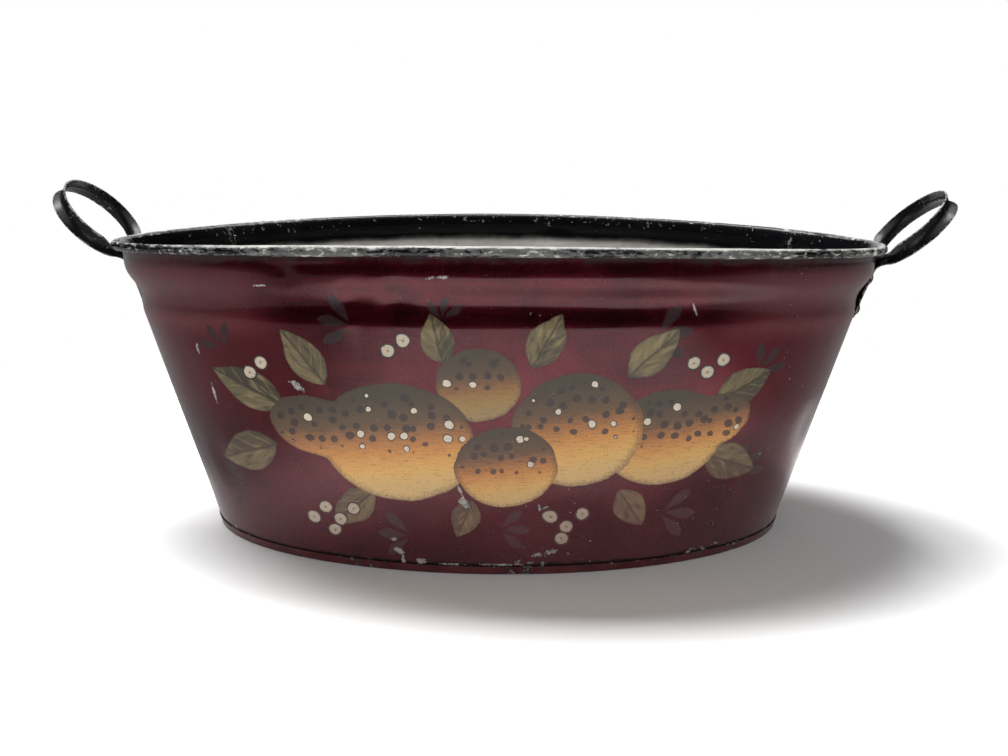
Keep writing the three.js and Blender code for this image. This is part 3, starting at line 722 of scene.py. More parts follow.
def painted_front(finish):
    """The design: its colour, and its cover from 0 to 1."""
    drift = (finish.noise(70, 2) - 0.5) * 3.6 + (finish.noise(480, 2) - 0.5) * 1.1
    board = (finish.x * MM + drift, finish.z * MM - drift * 0.7)
    place = finish.joined(*board)
    bristle = finish.streaks(3, 0.65, finish.x * 90, finish.z * 900)
    fine = finish.noise(900, 2)
    cover, colour = spray_paint(finish, board, bristle), SPRAY_BLACK
    for part_cover, part_colour in (
        leaf_paint(finish, board, bristle),
        fruit_paint(finish, board, place, bristle, fine),
        berry_paint(finish, place, fine),
    ):
        colour = finish.mix(part_cover, colour, part_colour)
        cover = finish.most(cover, part_cover)

    # The whole is hatched with fine bristle marks, and rubbed thin here and there
    colour = finish.mix(finish.between(bristle, 0.56, 0.72) * 0.40, colour, FRUIT_EDGE)
    colour = finish.mix(finish.between(fine + (bristle - 0.5) * 0.3, 0.66, 0.72) * 0.6, colour, FRUIT_EDGE)
    thin = finish.between(finish.noise(420, 3, 0.7), 0.66, 0.72)
    return colour, cover * (1 - thin * 0.8) * finish.between(finish.y * -1, *FRONT_FADE)


# Single chips on the front: place, half sizes and turn, as for the design
CHIPS = (
    (-35.2, 208.3, 9.5, 1.3, 4), (-132.2, 131.7, 6.5, 2.6, -35), (-70, 24, 2.6, 1.6, 0),
    (-67, 15.5, 4.2, 2.2, -20), (-64, 8.5, 1.6, 4.2, 10), (-52, 8, 4.6, 2.6, 0), (-22, 54.5, 5.2, 3.4, -50),
    (-24.5, 63.5, 1.2, 4, 25), (28.5, 51, 1.2, 3.2, 5), (33, 51, 2.6, 1, 25), (37, 17, 5.4, 2.2, 15),
    (27, 14.5, 4.2, 1.8, 10), (23.5, 9, 2.6, 1, 10), (2, 7.4, 17, 1.0, 0), (14.5, 9.4, 3.4, 1.8, 45),
    (-32, 7, 12, 0.9, 0), (-197, 118, 1.3, 9, 12), (-206, 150, 1.1, 6, 12), (126, 186, 1, 5, 20),
    (-152, 199, 6, 0.8, 3),
)


def single_chips(finish, ragged):
    board = (finish.x * MM, finish.z * MM)
    closest = functools.reduce(finish.least, [finish.round_at(board, *chip) for chip in CHIPS])
    edge = closest + (ragged - 0.5) * 3.4 + (finish.noise(750, 2) - 0.5) * 2.6
    return (1 - finish.between(edge, 0.50, 0.60)) * finish.between(finish.y * -1, *FRONT_FADE)


# Where the bands of the wall start or end: out from the middle, down from the bead, or up from the foot
VEIL_OUT, VEIL_START, VEIL_END = (0.125, 0.185), (0.012, 0.020), (0.052, 0.070)
REFLECTION_OUT, REFLECTION_START, REFLECTION_END = (0.105, 0.165), (0.045, 0.058), (0.100, 0.150)
BEAD_SHADE_END, CHIME_SHADE_END, FOOT_LOSS_END = (0.0085, 0.0140), (0.0065, 0.0090), (0.0085, 0.0125)
PALE_SIDE, PALE_END = (-0.12, 0.10), (0.01, 0.13)
LOW_END, MIDDLE_END = (0.010, 0.060), (0.020, 0.110)


def painted_wall(name, is_front):
    finish = new_finish(name)
    along, down, out = finish.attribute("round"), finish.attribute("down"), abs(finish.x)
    colour, relief, mottle = crimson_enamel(finish, along, down)

    # Towards the ends a pale veil lies on the shoulder, and the wall below it is a brighter crimson, a
    # painted reflection
    veil = finish.between(out, *VEIL_OUT) * finish.between(down, *VEIL_START)
    veil = veil * (1 - finish.between(down, *VEIL_END)) * (relief * 0.6 + 0.7)
    painted_reflection = finish.between(out, *REFLECTION_OUT) * finish.between(down, *REFLECTION_START)
    painted_reflection = painted_reflection * (1 - finish.between(down, *REFLECTION_END))
    colour = finish.mix(painted_reflection * 0.5, colour, CRIMSON_REFLECTION)
    colour = finish.mix(veil * 0.45, colour, CRIMSON_WORN)
    gloss, metal = mottle * 0.12 + relief * 0.24 + veil * 0.10 + 0.15, 0.88 - veil * 0.5
    if is_front:
        design, cover = painted_front(finish)
        colour = finish.mix(cover, colour, design)
        gloss, metal = gloss + cover * 0.18, metal * (1 - cover)

    # Painted shade and grime below the bead, paler low down, most of it to the right, painted shade above the
    # chime
    smudge = finish.noise(60, 4, 0.65, 0.6)
    ragged = finish.noise(260, 3, 0.7)
    # Painted shade with some grime, in a smudged band just below the bead
    shade_below_bead = 1 - finish.between(down + (smudge - 0.5) * 0.014, *BEAD_SHADE_END)
    colour = finish.mix(shade_below_bead * 0.82, colour, GRIME_AND_SHADE)
    # Paler towards the foot, most of it to the right
    paler_low = (1 - finish.between(finish.z, *PALE_END)) * (ragged * 0.6 + 0.7)
    paler_low = paler_low * (finish.between(finish.x, *PALE_SIDE) * 0.20 + 0.20)
    colour = finish.mix(paler_low, colour, FOOT_PALE)
    foot = finish.z + (smudge - 0.5) * 0.005
    # A painted shade line in black just above the chime, where the step is
    colour = finish.mix((1 - finish.between(foot, *CHIME_SHADE_END)) * 0.85, colour, JAPAN)

    # Specks and flakes, thickest low on the middle of the wall, and ragged losses along the foot
    cluster = finish.noise(9, 2)
    low_middle = (1 - finish.between(finish.z, *LOW_END)) * (1 - finish.between(out, *MIDDLE_END))
    specks = flaked(finish, 430, (cluster - 0.5) * 0.5 + low_middle * 0.10 + 0.14)
    flakes = flaked(finish, 95, (cluster - 0.5) * 0.3 + low_middle * 0.17 + 0.08)
    sunk = finish.most(specks, flakes)
    at_foot = 1 - finish.between(foot, *FOOT_LOSS_END)
    bare = finish.most(sunk, flaked(finish, 170, at_foot * 0.42 + (cluster - 0.5) * 0.6 - 0.1))
    if is_front:
        bare = finish.most(bare, single_chips(finish, ragged))
    ground = finish.mix(finish.between(finish.noise(300, 2), 0.4, 0.6), GROUND_GREY, GROUND_PALE)
    colour = finish.mix(bare, colour, ground)

    # Less gloss in the painted shade below the bead
    shine = metal * (1 - bare) * (1 - shade_below_bead * 0.7)
    coat = (1 - bare) * (finish.noise(520, 3, 0.7) * 0.7 + 0.25 - shade_below_bead * 0.3)
    if is_front:
        coat = coat * (1 - cover * 0.75)
    return finish.lay(colour, finish.most(gloss, bare * 0.7), shine, relief * 0.36 - sunk, PAINT_DEPTH, coat)


# Where the bands inside and on the bead start or end: down from its crown, or away from a seam
SHEEN_START, LIP_END, SEAM_CHIPS_END = (0.0200, 0.0262), (0.004, 0.022), (0.0004, 0.0012)
BEAD_END, CROWN_MIDDLE, CROWN_END = (0.0034, 0.0042), -0.0002, (0.0006, 0.0026)
CROWN_HIGHLIGHT_FRONT, CROWN_HIGHLIGHT_MIDDLE, CROWN_HIGHLIGHT_END = (0.02, 0.10), 0.03, (0.10, 0.25)


def black_inside():
    """Black japan, grey metal below the neck as a painted reflection, chipped up each seam, and worn to grey
    on the bead with a painted highlight.
    """
    finish = new_finish("black_inside")
    along, down = finish.attribute("round"), finish.attribute("down")
    cloud = finish.noise(24, 4, 0.6)
    dust = finish.noise(160, 4, 0.7)
    colour = finish.mix(finish.between(cloud + (dust - 0.5) * 0.4, 0.50, 0.80) * 0.4, JAPAN, JAPAN_DULL)
    scour = finish.streaks(3, 0.65, along * 35, down * 700)
    # The band below the neck, made grey metal as a painted reflection
    worn = finish.between(abs(down) + (cloud - 0.5) * 0.010, *SHEEN_START) * (scour * 0.5 + 0.62)
    stain = finish.between(cloud + (dust - 0.5) * 0.6, 0.48, 0.66)
    colour = finish.mix(worn, colour, finish.mix(stain * 0.35, SHEEN_GREY, SHEEN_GREY_STAINED))
    seam_columns = (0, SEAM_RIGHT - SEAM_LEFT + COLUMNS, COLUMNS)
    gap = functools.reduce(finish.least, [abs(along - float(round_of_column[i])) for i in seam_columns])
    ragged = finish.noise(240, 4, 0.7)
    seam_chips = 1 - finish.between(gap + (ragged - 0.5) * 0.030, *SEAM_CHIPS_END)
    near_lip = 1 - finish.between(abs(down), *LIP_END)
    bare = finish.most(seam_chips, flaked(finish, 260, near_lip * 0.22 + (cloud - 0.5) * 0.4 + 0.10))
    colour = finish.mix(bare, colour, finish.mix(ragged, GROUND_GREY, GROUND_PALE))

    # The bead that shows is this face too: worn to grey, with ragged losses; its pale crown in front is wear
    # and a painted highlight
    bead = 1 - finish.between(down + (dust - 0.5) * 0.0030, *BEAD_END)
    # The front middle of the bead, where a painted highlight lies along the crown
    ahead = 1 - finish.between(abs(finish.x - CROWN_HIGHLIGHT_MIDDLE), *CROWN_HIGHLIGHT_END)
    ahead = finish.between(finish.y * -1, *CROWN_HIGHLIGHT_FRONT) * ahead
    crown_wear_and_highlight = (1 - finish.between(abs(down - CROWN_MIDDLE), *CROWN_END)) * (ahead * 0.5 + 0.5)
    rub = finish.streaks(4, 0.7, along * 70, down * 420)
    flake = finish.streaks(4, 0.7, along * 130, down * 330, distortion=0.4)
    patch = finish.noise(14, 2)
    worn_thin = finish.between(flake + crown_wear_and_highlight * 0.20 + (patch - 0.5) * 0.9 + ahead * 0.10, 0.48, 0.60) * bead
    lost = finish.between(flake + crown_wear_and_highlight * 0.15 + (patch - 0.5) * 0.3, 0.60, 0.63) * bead
    grey = finish.mix(finish.between(rub + crown_wear_and_highlight * 0.40, 0.48, 0.98), BEAD_GREY, BEAD_PALE_AND_HIGHLIGHT)
    colour = finish.mix(worn_thin * 0.92, colour, grey)
    colour = finish.mix(lost, colour, BEAD_PALE_AND_HIGHLIGHT)
    bare = finish.most(bare, lost)
    roughness = cloud * 0.12 + 0.16 + bare * 0.3 + worn_thin * 0.15 + worn * 0.18
    coat = (1 - bare) * (1 - worn) * (1 - worn_thin) * 0.2
    metal = worn * (1 - bare) * 0.9
    return finish.lay(colour, roughness, metal, dust * 0.3 - bare, PAINT_DEPTH, coat, specular=0.3)


inside_finish = black_inside()
for piece, node, outside_finish in (
    (front_sheet, "front_wall", painted_wall("crimson_front", True)),
    (back_sheet, "back_wall", painted_wall("crimson_back", False)),
):
    to_sheet(piece, outside_finish, inside_finish)
    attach(piece, "root")
    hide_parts(node)


# THE RIM WIRE
# Drawn iron wire inside the roll, seen only through the slit under its lip. The CAD node stays.
IRON, RUST = (0.090, 0.085, 0.080), (0.070, 0.030, 0.014)
PIT_DEPTH = 0.0001
rim_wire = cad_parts["rim_wire"]


def bare_iron():
    """Dull drawn iron, browned by rust."""
    finish = new_finish("bare_iron")
    grain = finish.noise(300, 4, 0.65)
    rusty = finish.between(grain, 0.40, 0.62)
    return finish.lay(finish.mix(rusty, IRON, RUST), grain * 0.3 + 0.40, 1 - rusty * 0.8, grain, PIT_DEPTH)


rim_wire.material_slots[0].material = bare_iron()


# THE FLOOR PAN
# A raised oval floor of the same sheet. Its edge turns down inside the walls, passes under their foot and
# comes up outside as the chime, the narrow band that the tub stands on.
CHIME_HEIGHT = 0.006
FLOOR_HEIGHT = 0.0046
FLOOR_CROWN = 0.0016
FLOOR_MARGIN = 0.010
FLOOR_RINGS, FLOOR_CENTRE = 14, 0.06
FLOOR_WAVE, FLOOR_WAVE_LEVEL = 0.0016, 0.6
CROWN_QUIET, CROWN_FADE = 0.97, 0.1
CHIME_INSET = 0.0004
PAINTED_SIDE, LIP_FADE, FOLD_FADE = (0.995, 1.0), (0.0052, CHIME_HEIGHT), (0.0003, 0.0016)

# The rings of the edge, from the lip of the chime down, under the walls, up inside them and on to the floor:
# heights close beside the wall, or how far out or in from it with a height or a share of the crown
LIP_HEIGHTS = (CHIME_HEIGHT, 0.0045, 0.003, 0.0017, 0.0011)
FOLD_UNDER = ((0.0009, 0.0006), (0.0005, 0.00035), (-0.0005, 0.00035))
INNER_HEIGHTS = (0.0011, 0.002, 0.0034)
FLOOR_CORNER = ((0.0003, 0.0040), (0.0008, 0.00445), (0.0018, FLOOR_HEIGHT), (FLOOR_MARGIN, FLOOR_HEIGHT))
CROWN_STEPS = ((0.001, 0.15), (0.0022, 0.65), (0.0034, 0.95), (0.0046, 1))


def ring_beside(offset, height, level):
    """A ring at a height, a little out from where the wall is at a level."""
    return (wall_half(0, level) + offset, wall_half(1, level) + offset, height)


floor_rows = [ring_beside(LAYER, z, z) for z in LIP_HEIGHTS]
floor_rows += [ring_beside(offset, z, FOOT_HEIGHT) for offset, z in FOLD_UNDER]
floor_rows += [ring_beside(-LAYER, z, z) for z in INNER_HEIGHTS]
floor_rows += [ring_beside(-LAYER - offset, z, FLOOR_HEIGHT) for offset, z in FLOOR_CORNER]
for offset, share in CROWN_STEPS:
    z = FLOOR_HEIGHT + share * FLOOR_CROWN
    floor_rows.append(ring_beside(-LAYER - FLOOR_MARGIN - offset, z, FLOOR_HEIGHT))
crown_edge = floor_rows[-1]
for size in np.linspace(1, FLOOR_CENTRE, FLOOR_RINGS)[1:]:
    floor_rows.append((crown_edge[0] * size, crown_edge[1] * size, crown_edge[2]))

floor_pan = begin_ring("floor_pan_sheet", floor_rows[0])
for row, to_row in zip(floor_rows, floor_rows[1:]):
    draw_on(row, to_row)
bpy.ops.mesh.edge_face_add()
bpy.ops.mesh.poke()
bpy.ops.mesh.select_all(action="SELECT")
bpy.ops.mesh.normals_make_consistent(inside=False)
bpy.ops.object.mode_set(mode="OBJECT")
floor_down = floor_pan.data.attributes.new("down", "FLOAT", "POINT")
floor_down.data.foreach_set("value", [RIM_HEIGHT] * len(floor_pan.data.vertices))
floor_group = floor_pan.vertex_groups.new(name="wave")
for point in floor_pan.data.vertices:
    size = math.hypot(point.co.x / crown_edge[0], point.co.y / crown_edge[1])
    floor_group.add([point.index], held((CROWN_QUIET - size) / CROWN_FADE), "REPLACE")
clouds = bpy.data.textures["broad_waves"]
displace(floor_pan, "wave", FLOOR_WAVE, FLOOR_WAVE_LEVEL, clouds, "wave", "Z")


def chime_paint():
    """Crimson on the chime, darker along its folds and chipped to grey there, and dull black under the floor.
    """
    finish = new_finish("chime_paint")
    mottle = finish.noise(40, 4, 0.6)
    ragged = finish.noise(260, 4, 0.7)
    cluster = finish.noise(14, 2)
    colour = finish.mix(finish.between(mottle, 0.35, 0.65), CRIMSON, CRIMSON_WORN)
    half_length, half_width = (wall_half(axis, FOOT_HEIGHT) - CHIME_INSET for axis in (0, 1))
    across, along = finish.x * (1 / half_length), finish.y * (1 / half_width)
    outside = finish.between(across * across + along * along, *PAINTED_SIDE)
    folded = finish.most(finish.between(finish.z, *LIP_FADE), 1 - finish.between(finish.z, *FOLD_FADE))
    # Darker towards both folds
    worn = finish.between(ragged + folded * 0.12 + (cluster - 0.5) * 0.35, 0.54, 0.58)
    colour = finish.mix(worn * 0.8, colour, GRIME_AND_SHADE)
    bare = finish.between(ragged + folded * 0.08 + (cluster - 0.5) * 0.45, 0.66, 0.68) * outside
    black = finish.mix(finish.between(mottle, 0.4, 0.7), JAPAN, JAPAN_DULL)
    colour = finish.mix(outside, black, colour)
    colour = finish.mix(bare, colour, finish.mix(mottle, GROUND_GREY, GROUND_PALE))
    metal = outside * (1 - bare) * (1 - worn * 0.7) * 0.6
    roughness = mottle * 0.2 + 0.35 + bare * 0.2
    return finish.lay(colour, roughness, metal, ragged * 0.3 - bare, PAINT_DEPTH, (1 - bare) * 0.5)


to_sheet(floor_pan, chime_paint(), inside_finish)
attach(floor_pan, "root")
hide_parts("floor_pan")


# THE HANDLES
# Each is one strap of iron with a channel pressed into its outside. It is bent into a loop that leans up and
# out, comes back under the rim roll, and ends in two flattened feet that lie down the wall. Between its two
# rivets each foot is pressed into the cove.
STRAP_WIDTH, STRAP_THICKNESS = 0.0125, 0.0012
STRAP_CHANNEL, CHANNEL_SHAPE = 0.0024, 1.5
LOOP_WIDTH, LOOP_START, LOOP_REACH = 0.086, 0.0007, 0.0669
ROOT_OUT, ROOT_DEPTH, ROOT_SPREAD, ROOT_UPPER_EDGE = 0.0003, 0.0095, 0.016, 0.003
EDGE_CLEAR = 0.002
LEG_BEND_OUT, LEG_BEND_ALONG, LEG_BEND_DOWN, LEG_BEND_ASIDE = 0.75, 0.3, 0.15, 0.002
FOOT_WIDTH, FOOT_SPREAD, FOOT_TOP_DEPTH, FOOT_END_DEPTH = 0.012, 0.014, 0.018, 0.052
FOOT_ROUND, FOOT_END_NARROW = 0.006, 0.3
BELLY_START, BELLY_END, BELLY_FADE, BELLY_CLEAR, BELLY_SHAPE = 0.0272, 0.0440, 0.0022, 0.0005, 0.7
LOOP_STEPS, LEG_STEPS, FOOT_STEPS, ACROSS_STEPS = 110, 12, 16, 14
FOOT_CROWDING = 0.7  # under 1, the steps down a foot are closest at its end
EDGE_BEVEL, STRAP_SMOOTH = 0.0004, 60
HAMMER_SCALE, HAMMER_DEPTH, HAMMER_LEVEL = 0.012, 0.0005, 0.5

# Name, side of the tub, tilt up and turn in degrees, and how far along the end its middle lies
HANDLES = (("left", -1, 49, 3.3, 0.009), ("right", 1, 44.6, -5.7, -0.006))

hammering = bpy.data.textures.new("hammered", "CLOUDS")
hammering.noise_scale = HAMMER_SCALE


def mix(a, b, share):
    return a + (b - a) * share


def wall_outside(y, height):
    """How far out the painted face of the wall lies at the right-hand end."""
    half_length, half_width = (wall_half(axis, height) + SHEET / 2 for axis in (0, 1))
    return half_length * math.sqrt(1 - (y / half_width) ** 2)


def foot_strip(middle_y):
    """A foot as places by the share across it and the depth below the rim roll."""
    clear = PLAY + STRAP_THICKNESS / 2

    def edge(across, depth):
        left, middle, right = (
            wall_outside(middle_y + side * FOOT_WIDTH / 2, RIM_HEIGHT - depth) + clear for side in (-1, 0, 1)
        )
        return mix(left, right, (across + 1) / 2) + max(0, middle - (left + right) / 2)

    def place(across, depth):
        share = (depth - FOOT_TOP_DEPTH) / (SHOULDER_END - FOOT_TOP_DEPTH)
        x = mix(edge(across, FOOT_TOP_DEPTH), edge(across, SHOULDER_END), share)
        return Vector((x, middle_y + across * FOOT_WIDTH / 2, RIM_HEIGHT - depth))

    return place


def strap_columns(tilt, skew, shift):
    """Places across the strap, from the end of the front foot round the loop to the end of the back one."""
    tilt, turn = math.radians(tilt), Matrix.Rotation(math.radians(skew), 3, "Z")
    root = Vector((RIM_OVAL[0] + ROOT_OUT, 0, RIM_HEIGHT - ROOT_DEPTH))
    reach = Vector((math.cos(tilt), 0, math.sin(tilt)))
    lower = Vector((math.sin(tilt), 0, -math.cos(tilt)))
    half_reach, half_width = (LOOP_REACH - LOOP_START) / 2, LOOP_WIDTH / 2
    shares = np.linspace(-1, 1, ACROSS_STEPS + 1)

    def loop(angle):
        out = LOOP_START + half_reach * (1 + math.cos(angle))
        middle = reach * out + Vector((0, half_width * math.sin(angle), 0))
        outward = reach * half_width * math.cos(angle) + Vector((0, half_reach * math.sin(angle), 0))
        outward.normalize()
        free = held((out - ROOT_UPPER_EDGE - EDGE_CLEAR) / (STRAP_WIDTH - ROOT_UPPER_EDGE))
        upper = mix(ROOT_UPPER_EDGE, STRAP_WIDTH / 2, free * free * (3 - 2 * free))
        column = []
        for across in shares:
            sunk = STRAP_CHANNEL * math.cos(across * math.pi / 2) ** CHANNEL_SHAPE
            offset = across * (upper if across < 0 else STRAP_WIDTH / 2)
            place = middle + lower * offset - outward * sunk + Vector((0, shift, 0))
            column.append(turn @ place + root)
        return column

    def foot(way):
        strip = foot_strip(shift + way * FOOT_SPREAD)
        columns = []
        for step in range(FOOT_STEPS + 1):
            depth = mix(FOOT_TOP_DEPTH, FOOT_END_DEPTH, (step / FOOT_STEPS) ** FOOT_CROWDING)
            past = max(depth - FOOT_END_DEPTH + FOOT_ROUND, 0) / FOOT_ROUND
            narrow = max(math.sqrt(max(1 - past * past, 0)), FOOT_END_NARROW)
            pressed = held((depth - BELLY_START) / BELLY_FADE) * held((BELLY_END - depth) / BELLY_FADE)
            column = [strip(way * across * narrow, depth) for across in shares]
            for place, across in zip(column, shares):
                gap = place.x - wall_outside(place.y, place.z) - STRAP_THICKNESS / 2 - BELLY_CLEAR
                place.x -= max(gap, 0) * pressed * math.cos(across * math.pi / 2) ** BELLY_SHAPE
            columns.append(column)
        return columns

    def leg(way, start, end):
        columns = []
        for step in range(1, LEG_STEPS):
            t = step / LEG_STEPS
            column = []
            for a, b in zip(start, end):
                knee = Vector((
                    mix(a.x, b.x, LEG_BEND_OUT),
                    mix(a.y, b.y, LEG_BEND_ALONG) - way * LEG_BEND_ASIDE,
                    mix(a.z, b.z, LEG_BEND_DOWN),
                ))
                column.append(a * (1 - t) ** 2 + knee * 2 * t * (1 - t) + b * t * t)
            columns.append(column)
        return columns

    root_angle = math.pi - math.asin(ROOT_SPREAD / half_width)
    loops = [loop(angle) for angle in np.linspace(-root_angle, root_angle, LOOP_STEPS + 1)]
    front, back = foot(-1), foot(1)
    return front[::-1] + leg(-1, loops[0], front[0])[::-1] + loops + leg(1, loops[-1], back[0]) + back


def make_handle(name, side, tilt, skew, shift):
    columns = strap_columns(tilt, skew, shift)
    bpy.ops.object.select_all(action="DESELECT")
    bpy.ops.mesh.primitive_grid_add(x_subdivisions=len(columns) - 1, y_subdivisions=ACROSS_STEPS, size=2)
    handle = bpy.context.object
    handle.name = handle.data.name = "strap_" + name
    middles = np.array([column[ACROSS_STEPS // 2] for column in columns])
    run = distances_along(middles)
    values = {"run": [], "across": [], "tip": []}
    for point in handle.data.vertices:
        i = round((point.co.x + 1) / 2 * (len(columns) - 1))
        j = round((point.co.y + 1) / 2 * ACROSS_STEPS)
        place = columns[i][j]
        point.co = (side * place.x, place.y, place.z)
        values["run"].append(run[i])
        values["across"].append(2 * j / ACROSS_STEPS - 1)
        values["tip"].append((place.x - RIM_OVAL[0]) / LOOP_REACH)
    for key, items in values.items():
        handle.data.attributes.new(key, "FLOAT", "POINT").data.foreach_set("value", items)
    solid = handle.modifiers.new("strap", "SOLIDIFY")
    solid.thickness = STRAP_THICKNESS
    solid.offset = 0
    edges = handle.modifiers.new("edges", "BEVEL")
    edges.width = EDGE_BEVEL
    edges.segments = 2
    edges.limit_method = "ANGLE"
    edges.angle_limit = math.radians(STRAP_SMOOTH)
    displace(handle, "hammered", HAMMER_DEPTH, HAMMER_LEVEL, hammering)
    apply_modifiers(handle)
    bpy.ops.object.shade_smooth_by_angle(angle=math.radians(STRAP_SMOOTH))
    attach(handle, "root")
    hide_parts("handle_" + name)
    return handle


handles = [make_handle(*handle) for handle in HANDLES]


def strap_japan():
    """Glossy black japan, rubbed grey on the loop's far end and chipped pale along both edges."""
    finish = new_finish("strap_japan")
    run, across, tip = (finish.attribute(name) for name in ("run", "across", "tip"))
    mottle = finish.noise(60, 4, 0.6)
    rub = finish.streaks(4, 0.65, run * 90, across * 1.6)
    ragged = finish.noise(420, 4, 0.7)
    far_end = finish.between(tip + (mottle - 0.5) * 0.4, 0.60, 0.98)
    rubbed = finish.between(rub + far_end * 0.36, 0.64, 0.84) * 0.8
    colour = finish.mix(rubbed, JAPAN, JAPAN_RUBBED)
    ridge = finish.between(abs(across), 0.78, 0.96)
    bare = finish.between(ragged + ridge * 0.20 + far_end * 0.05 + (mottle - 0.5) * 0.30, 0.66, 0.68)
    colour = finish.mix(bare, colour, finish.mix(rub, GROUND_GREY, GROUND_PALE))
    roughness = rubbed * 0.25 + mottle * 0.12 + 0.27 + bare * 0.25
    return finish.lay(colour, roughness, 0.0, mottle * 0.3 - bare * 0.8, PAINT_DEPTH, specular=0.35)


strap_finish = strap_japan()
for handle in handles:
    handle.data.materials.append(strap_finish)


# THE RIVETS
# Two soft iron rivets through each foot and the wall behind it, with a round head on the outside and a
# flatter hammered one on the inside.
RIVET_RADIUS, HEAD_RADIUS, HEAD_HEIGHT = 0.0017, 0.0038, 0.0017
RIVET_DEPTHS = (("upper", 0.023), ("lower", 0.046))
RIVET_SIDES, HEAD_SMOOTH = 24, 40
NOMINAL_GRIP = 0.004  # between the heads, until each rivet is fitted to its place
NUDGE = 0.001  # up and down the foot from a rivet, to find the slope there
DENT_DEPTH = 0.0002

bpy.ops.object.select_all(action="DESELECT")
bpy.ops.mesh.primitive_uv_sphere_add(segments=RIVET_SIDES, ring_count=RIVET_SIDES // 2, radius=1)
rivet = bpy.context.object
bpy.ops.object.mode_set(mode="EDIT")
bpy.ops.mesh.select_all(action="SELECT")
bpy.ops.transform.resize(value=(HEAD_RADIUS, HEAD_RADIUS, HEAD_HEIGHT), center_override=(0, 0, 0))
bpy.ops.mesh.bisect(plane_co=(0, 0, 0), plane_no=(0, 0, 1), clear_inner=True)
select_where(rivet, "EDGE", lambda edge: edge.is_boundary)
RIVET_RINGS = (
    (HEAD_RADIUS, RIVET_RADIUS, 0),
    (RIVET_RADIUS, RIVET_RADIUS, -NOMINAL_GRIP - PLAY),
    (RIVET_RADIUS, HEAD_RADIUS * 1.05, 0),
    (HEAD_RADIUS * 1.05, HEAD_RADIUS * 1.02, -HEAD_HEIGHT * 0.35),
    (HEAD_RADIUS * 1.02, HEAD_RADIUS * 0.85, -HEAD_HEIGHT * 0.3),
    (HEAD_RADIUS * 0.85, HEAD_RADIUS * 0.5, -HEAD_HEIGHT * 0.15),
)
height = 0
for radius, to_radius, drop in RIVET_RINGS:
    height += drop
    bpy.ops.mesh.extrude_region_move(TRANSFORM_OT_translate={"value": (0, 0, drop)})
    size = to_radius / radius
    bpy.ops.transform.resize(value=(size, size, 1), center_override=(0, 0, height))
bpy.ops.mesh.edge_face_add()
bpy.ops.mesh.select_all(action="SELECT")
bpy.ops.mesh.normals_make_consistent(inside=False)
bpy.ops.object.mode_set(mode="OBJECT")
bpy.ops.object.shade_smooth_by_angle(angle=math.radians(HEAD_SMOOTH))

rivets = []
for name, side, tilt, skew, shift in HANDLES:
    for foot, way in (("front", -1), ("back", 1)):
        strip = foot_strip(shift + way * FOOT_SPREAD)
        for level_name, depth in RIVET_DEPTHS:
            middle = strip(0, depth)
            down = strip(0, depth + NUDGE) - strip(0, depth - NUDGE)
            across = strip(1, depth) - strip(-1, depth)
            axis = down.cross(across).normalized()
            axis = axis if axis.x > 0 else -axis
            seat = middle + axis * (STRAP_THICKNESS / 2 + PLAY)
            reaches = []
            for step in (-1, 0, 1):
                z = middle.z + step * HEAD_RADIUS
                inside = wall_outside(middle.y, z) - SHEET / axis.x
                reaches.append((seat.x - inside) * axis.x + (seat.z - z) * axis.z)
            grip = max(reaches) + PLAY
            copy = copied(rivet, f"{name}_{foot}_{level_name}")
            for point in copy.data.vertices:
                if point.co.z < -NOMINAL_GRIP / 2:
                    point.co.z += NOMINAL_GRIP + PLAY - grip
            turn = axis.to_track_quat("Z", "Y").to_matrix().to_4x4()
            flip = Matrix.Scale(side, 4, (1, 0, 0))
            copy.data.transform(flip @ Matrix.Translation(seat) @ turn)
            if side < 0:
                copy.data.flip_normals()
            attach(copy, "root")
            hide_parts(f"{name}_{foot}_rivet_{level_name}")
            rivets.append(copy)
bpy.data.objects.remove(rivet)


def rivet_japan():
    """Black japan over the hammered head, rubbed through in spots."""
    finish = new_finish("rivet_japan")
    rub = finish.noise(330, 4, 0.7)
    dent = finish.noise(700, 2)
    colour = finish.mix(finish.between(rub, 0.50, 0.70), JAPAN, JAPAN_RUBBED)
    bare = finish.between(rub, 0.68, 0.70)
    colour = finish.mix(bare, colour, GROUND_GREY)
    return finish.lay(colour, rub * 0.3 + 0.18, 0.0, dent * 0.5 - bare * 0.5, DENT_DEPTH, (1 - bare) * 0.5)


rivet_finish = rivet_japan()
for piece in rivets:
    piece.data.materials.clear()
    piece.data.materials.append(rivet_finish)


# THE STUDIO
# A pale floor that keeps the tub's shadow, a far broad lamp overhead, to the left and behind, that throws it,
# a long near lamp above that only the gloss shows, a weak low fill in front that the gloss doesn't, and a
# white surround that the gloss finds only overhead and straight behind the tub.
FLOOR_SIZE, FLOOR_FRONT, FLOOR_WHITE = 4.0, -0.62, (0.95, 0.95, 0.95)
FLOOR_FADE, BEHIND_TUB = (0.50, 0.85), (0.3, 0.8)
KEY_PLACE, KEY_TURN, KEY_SIZE, KEY_POWER = (-2.45, 1.85, 8), (-0.22, -0.29, 0), (5.1, 2.4), 1200
SHEEN_PLACE, SHEEN_TURN, SHEEN_SIZE, SHEEN_POWER = (-0.12, 0.13, 1.60), (-0.08, -0.08, 0), (2.9, 0.42), 52
FILL_PLACE, FILL_TURN, FILL_SIZE, FILL_POWER = (0, -1.5, 0.32), (1.50, 0, 0), (1.8, 0.5), 4.5
DAYLIGHT, DIM_LIGHT = 0.29, 0.01
OVERHEAD_FADE, BEHIND_FADE = (0.42, 0.62), (0.50, 0.95)
SIDE_MIDDLE, SIDE_FADE, SIDE_DARK = 0.06, (0.22, 0.38), (0.18, 0.18, 0.18)

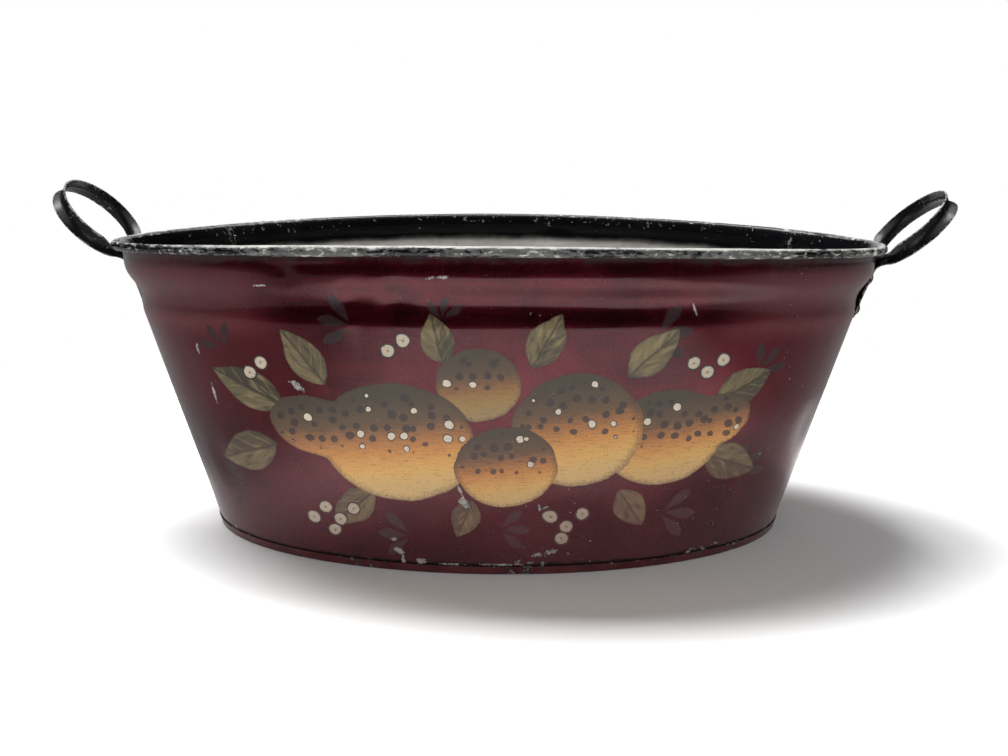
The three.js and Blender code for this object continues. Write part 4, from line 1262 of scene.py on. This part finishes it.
bpy.ops.object.select_all(action="DESELECT")
bpy.ops.mesh.primitive_plane_add(size=FLOOR_SIZE)
floor = bpy.context.object
for corner in floor.data.vertices:
    corner.co.y = max(corner.co.y, FLOOR_FRONT)
floor.name = floor.data.name = "floor"
finish = new_finish("pale_floor")
is_camera, is_glossy, is_through = finish.rays()
at_sides = finish.between(abs(finish.x - SIDE_MIDDLE), *SIDE_FADE)
mirrored = finish.most(is_glossy, is_through) * finish.between(finish.y, *BEHIND_TUB) * (1 - at_sides)
seen = finish.most(is_camera, mirrored)
away = finish.vector("LENGTH", "Value", finish.place)
paper = finish.mix(at_sides * is_glossy, FLOOR_WHITE, SIDE_DARK)
diffuse = finish.node("ShaderNodeBsdfDiffuse", {}, {"Color": paper}, "BSDF")
glow = finish.node("ShaderNodeEmission", {}, {"Color": (1, 1, 1), "Strength": 1.0}, "Emission")
share = finish.between(away, *FLOOR_FADE) * seen
surface = finish.node("ShaderNodeMixShader", {}, {0: share, 1: diffuse, 2: glow})
finish.node("ShaderNodeOutputMaterial", {}, {"Surface": surface}, None)
floor.data.materials.append(finish.owner)


def soft_lamp(name, place, turn, size, power):
    lamp = bpy.data.objects.new(name, bpy.data.lights.new(name, "AREA"))
    lamp.data.shape = "RECTANGLE"
    lamp.data.size, lamp.data.size_y = size
    lamp.data.energy = power
    lamp.location, lamp.rotation_euler = place, turn
    bpy.context.scene.collection.objects.link(lamp)
    return lamp


key = soft_lamp("key", KEY_PLACE, KEY_TURN, KEY_SIZE, KEY_POWER)
key.visible_glossy = False
sheen = soft_lamp("sheen", SHEEN_PLACE, SHEEN_TURN, SHEEN_SIZE, SHEEN_POWER)
sheen.visible_diffuse = False
fill = soft_lamp("fill", FILL_PLACE, FILL_TURN, FILL_SIZE, FILL_POWER)
fill.visible_glossy = False

world = bpy.context.scene.world = bpy.data.worlds.new("surround")
sky = Finish(world, "Generated")
is_camera, is_glossy, is_through = sky.rays()
overhead = sky.between(sky.z, *OVERHEAD_FADE)
behind = sky.between(sky.y, *BEHIND_FADE) * (1 - sky.between(abs(sky.x), *SIDE_FADE))
glossy = sky.most(overhead, behind) * (1 - DIM_LIGHT) + DIM_LIGHT
strength = (1 - is_camera) * (1 - is_glossy) * (1 - is_through) * DAYLIGHT
strength = strength + is_glossy * glossy + is_camera + is_through
background = sky.node("ShaderNodeBackground", {}, {"Color": (1, 1, 1), "Strength": strength}, "Background")
sky.node("ShaderNodeOutputWorld", {}, {"Surface": background}, None)

bpy.context.scene.view_settings.view_transform = "Standard"
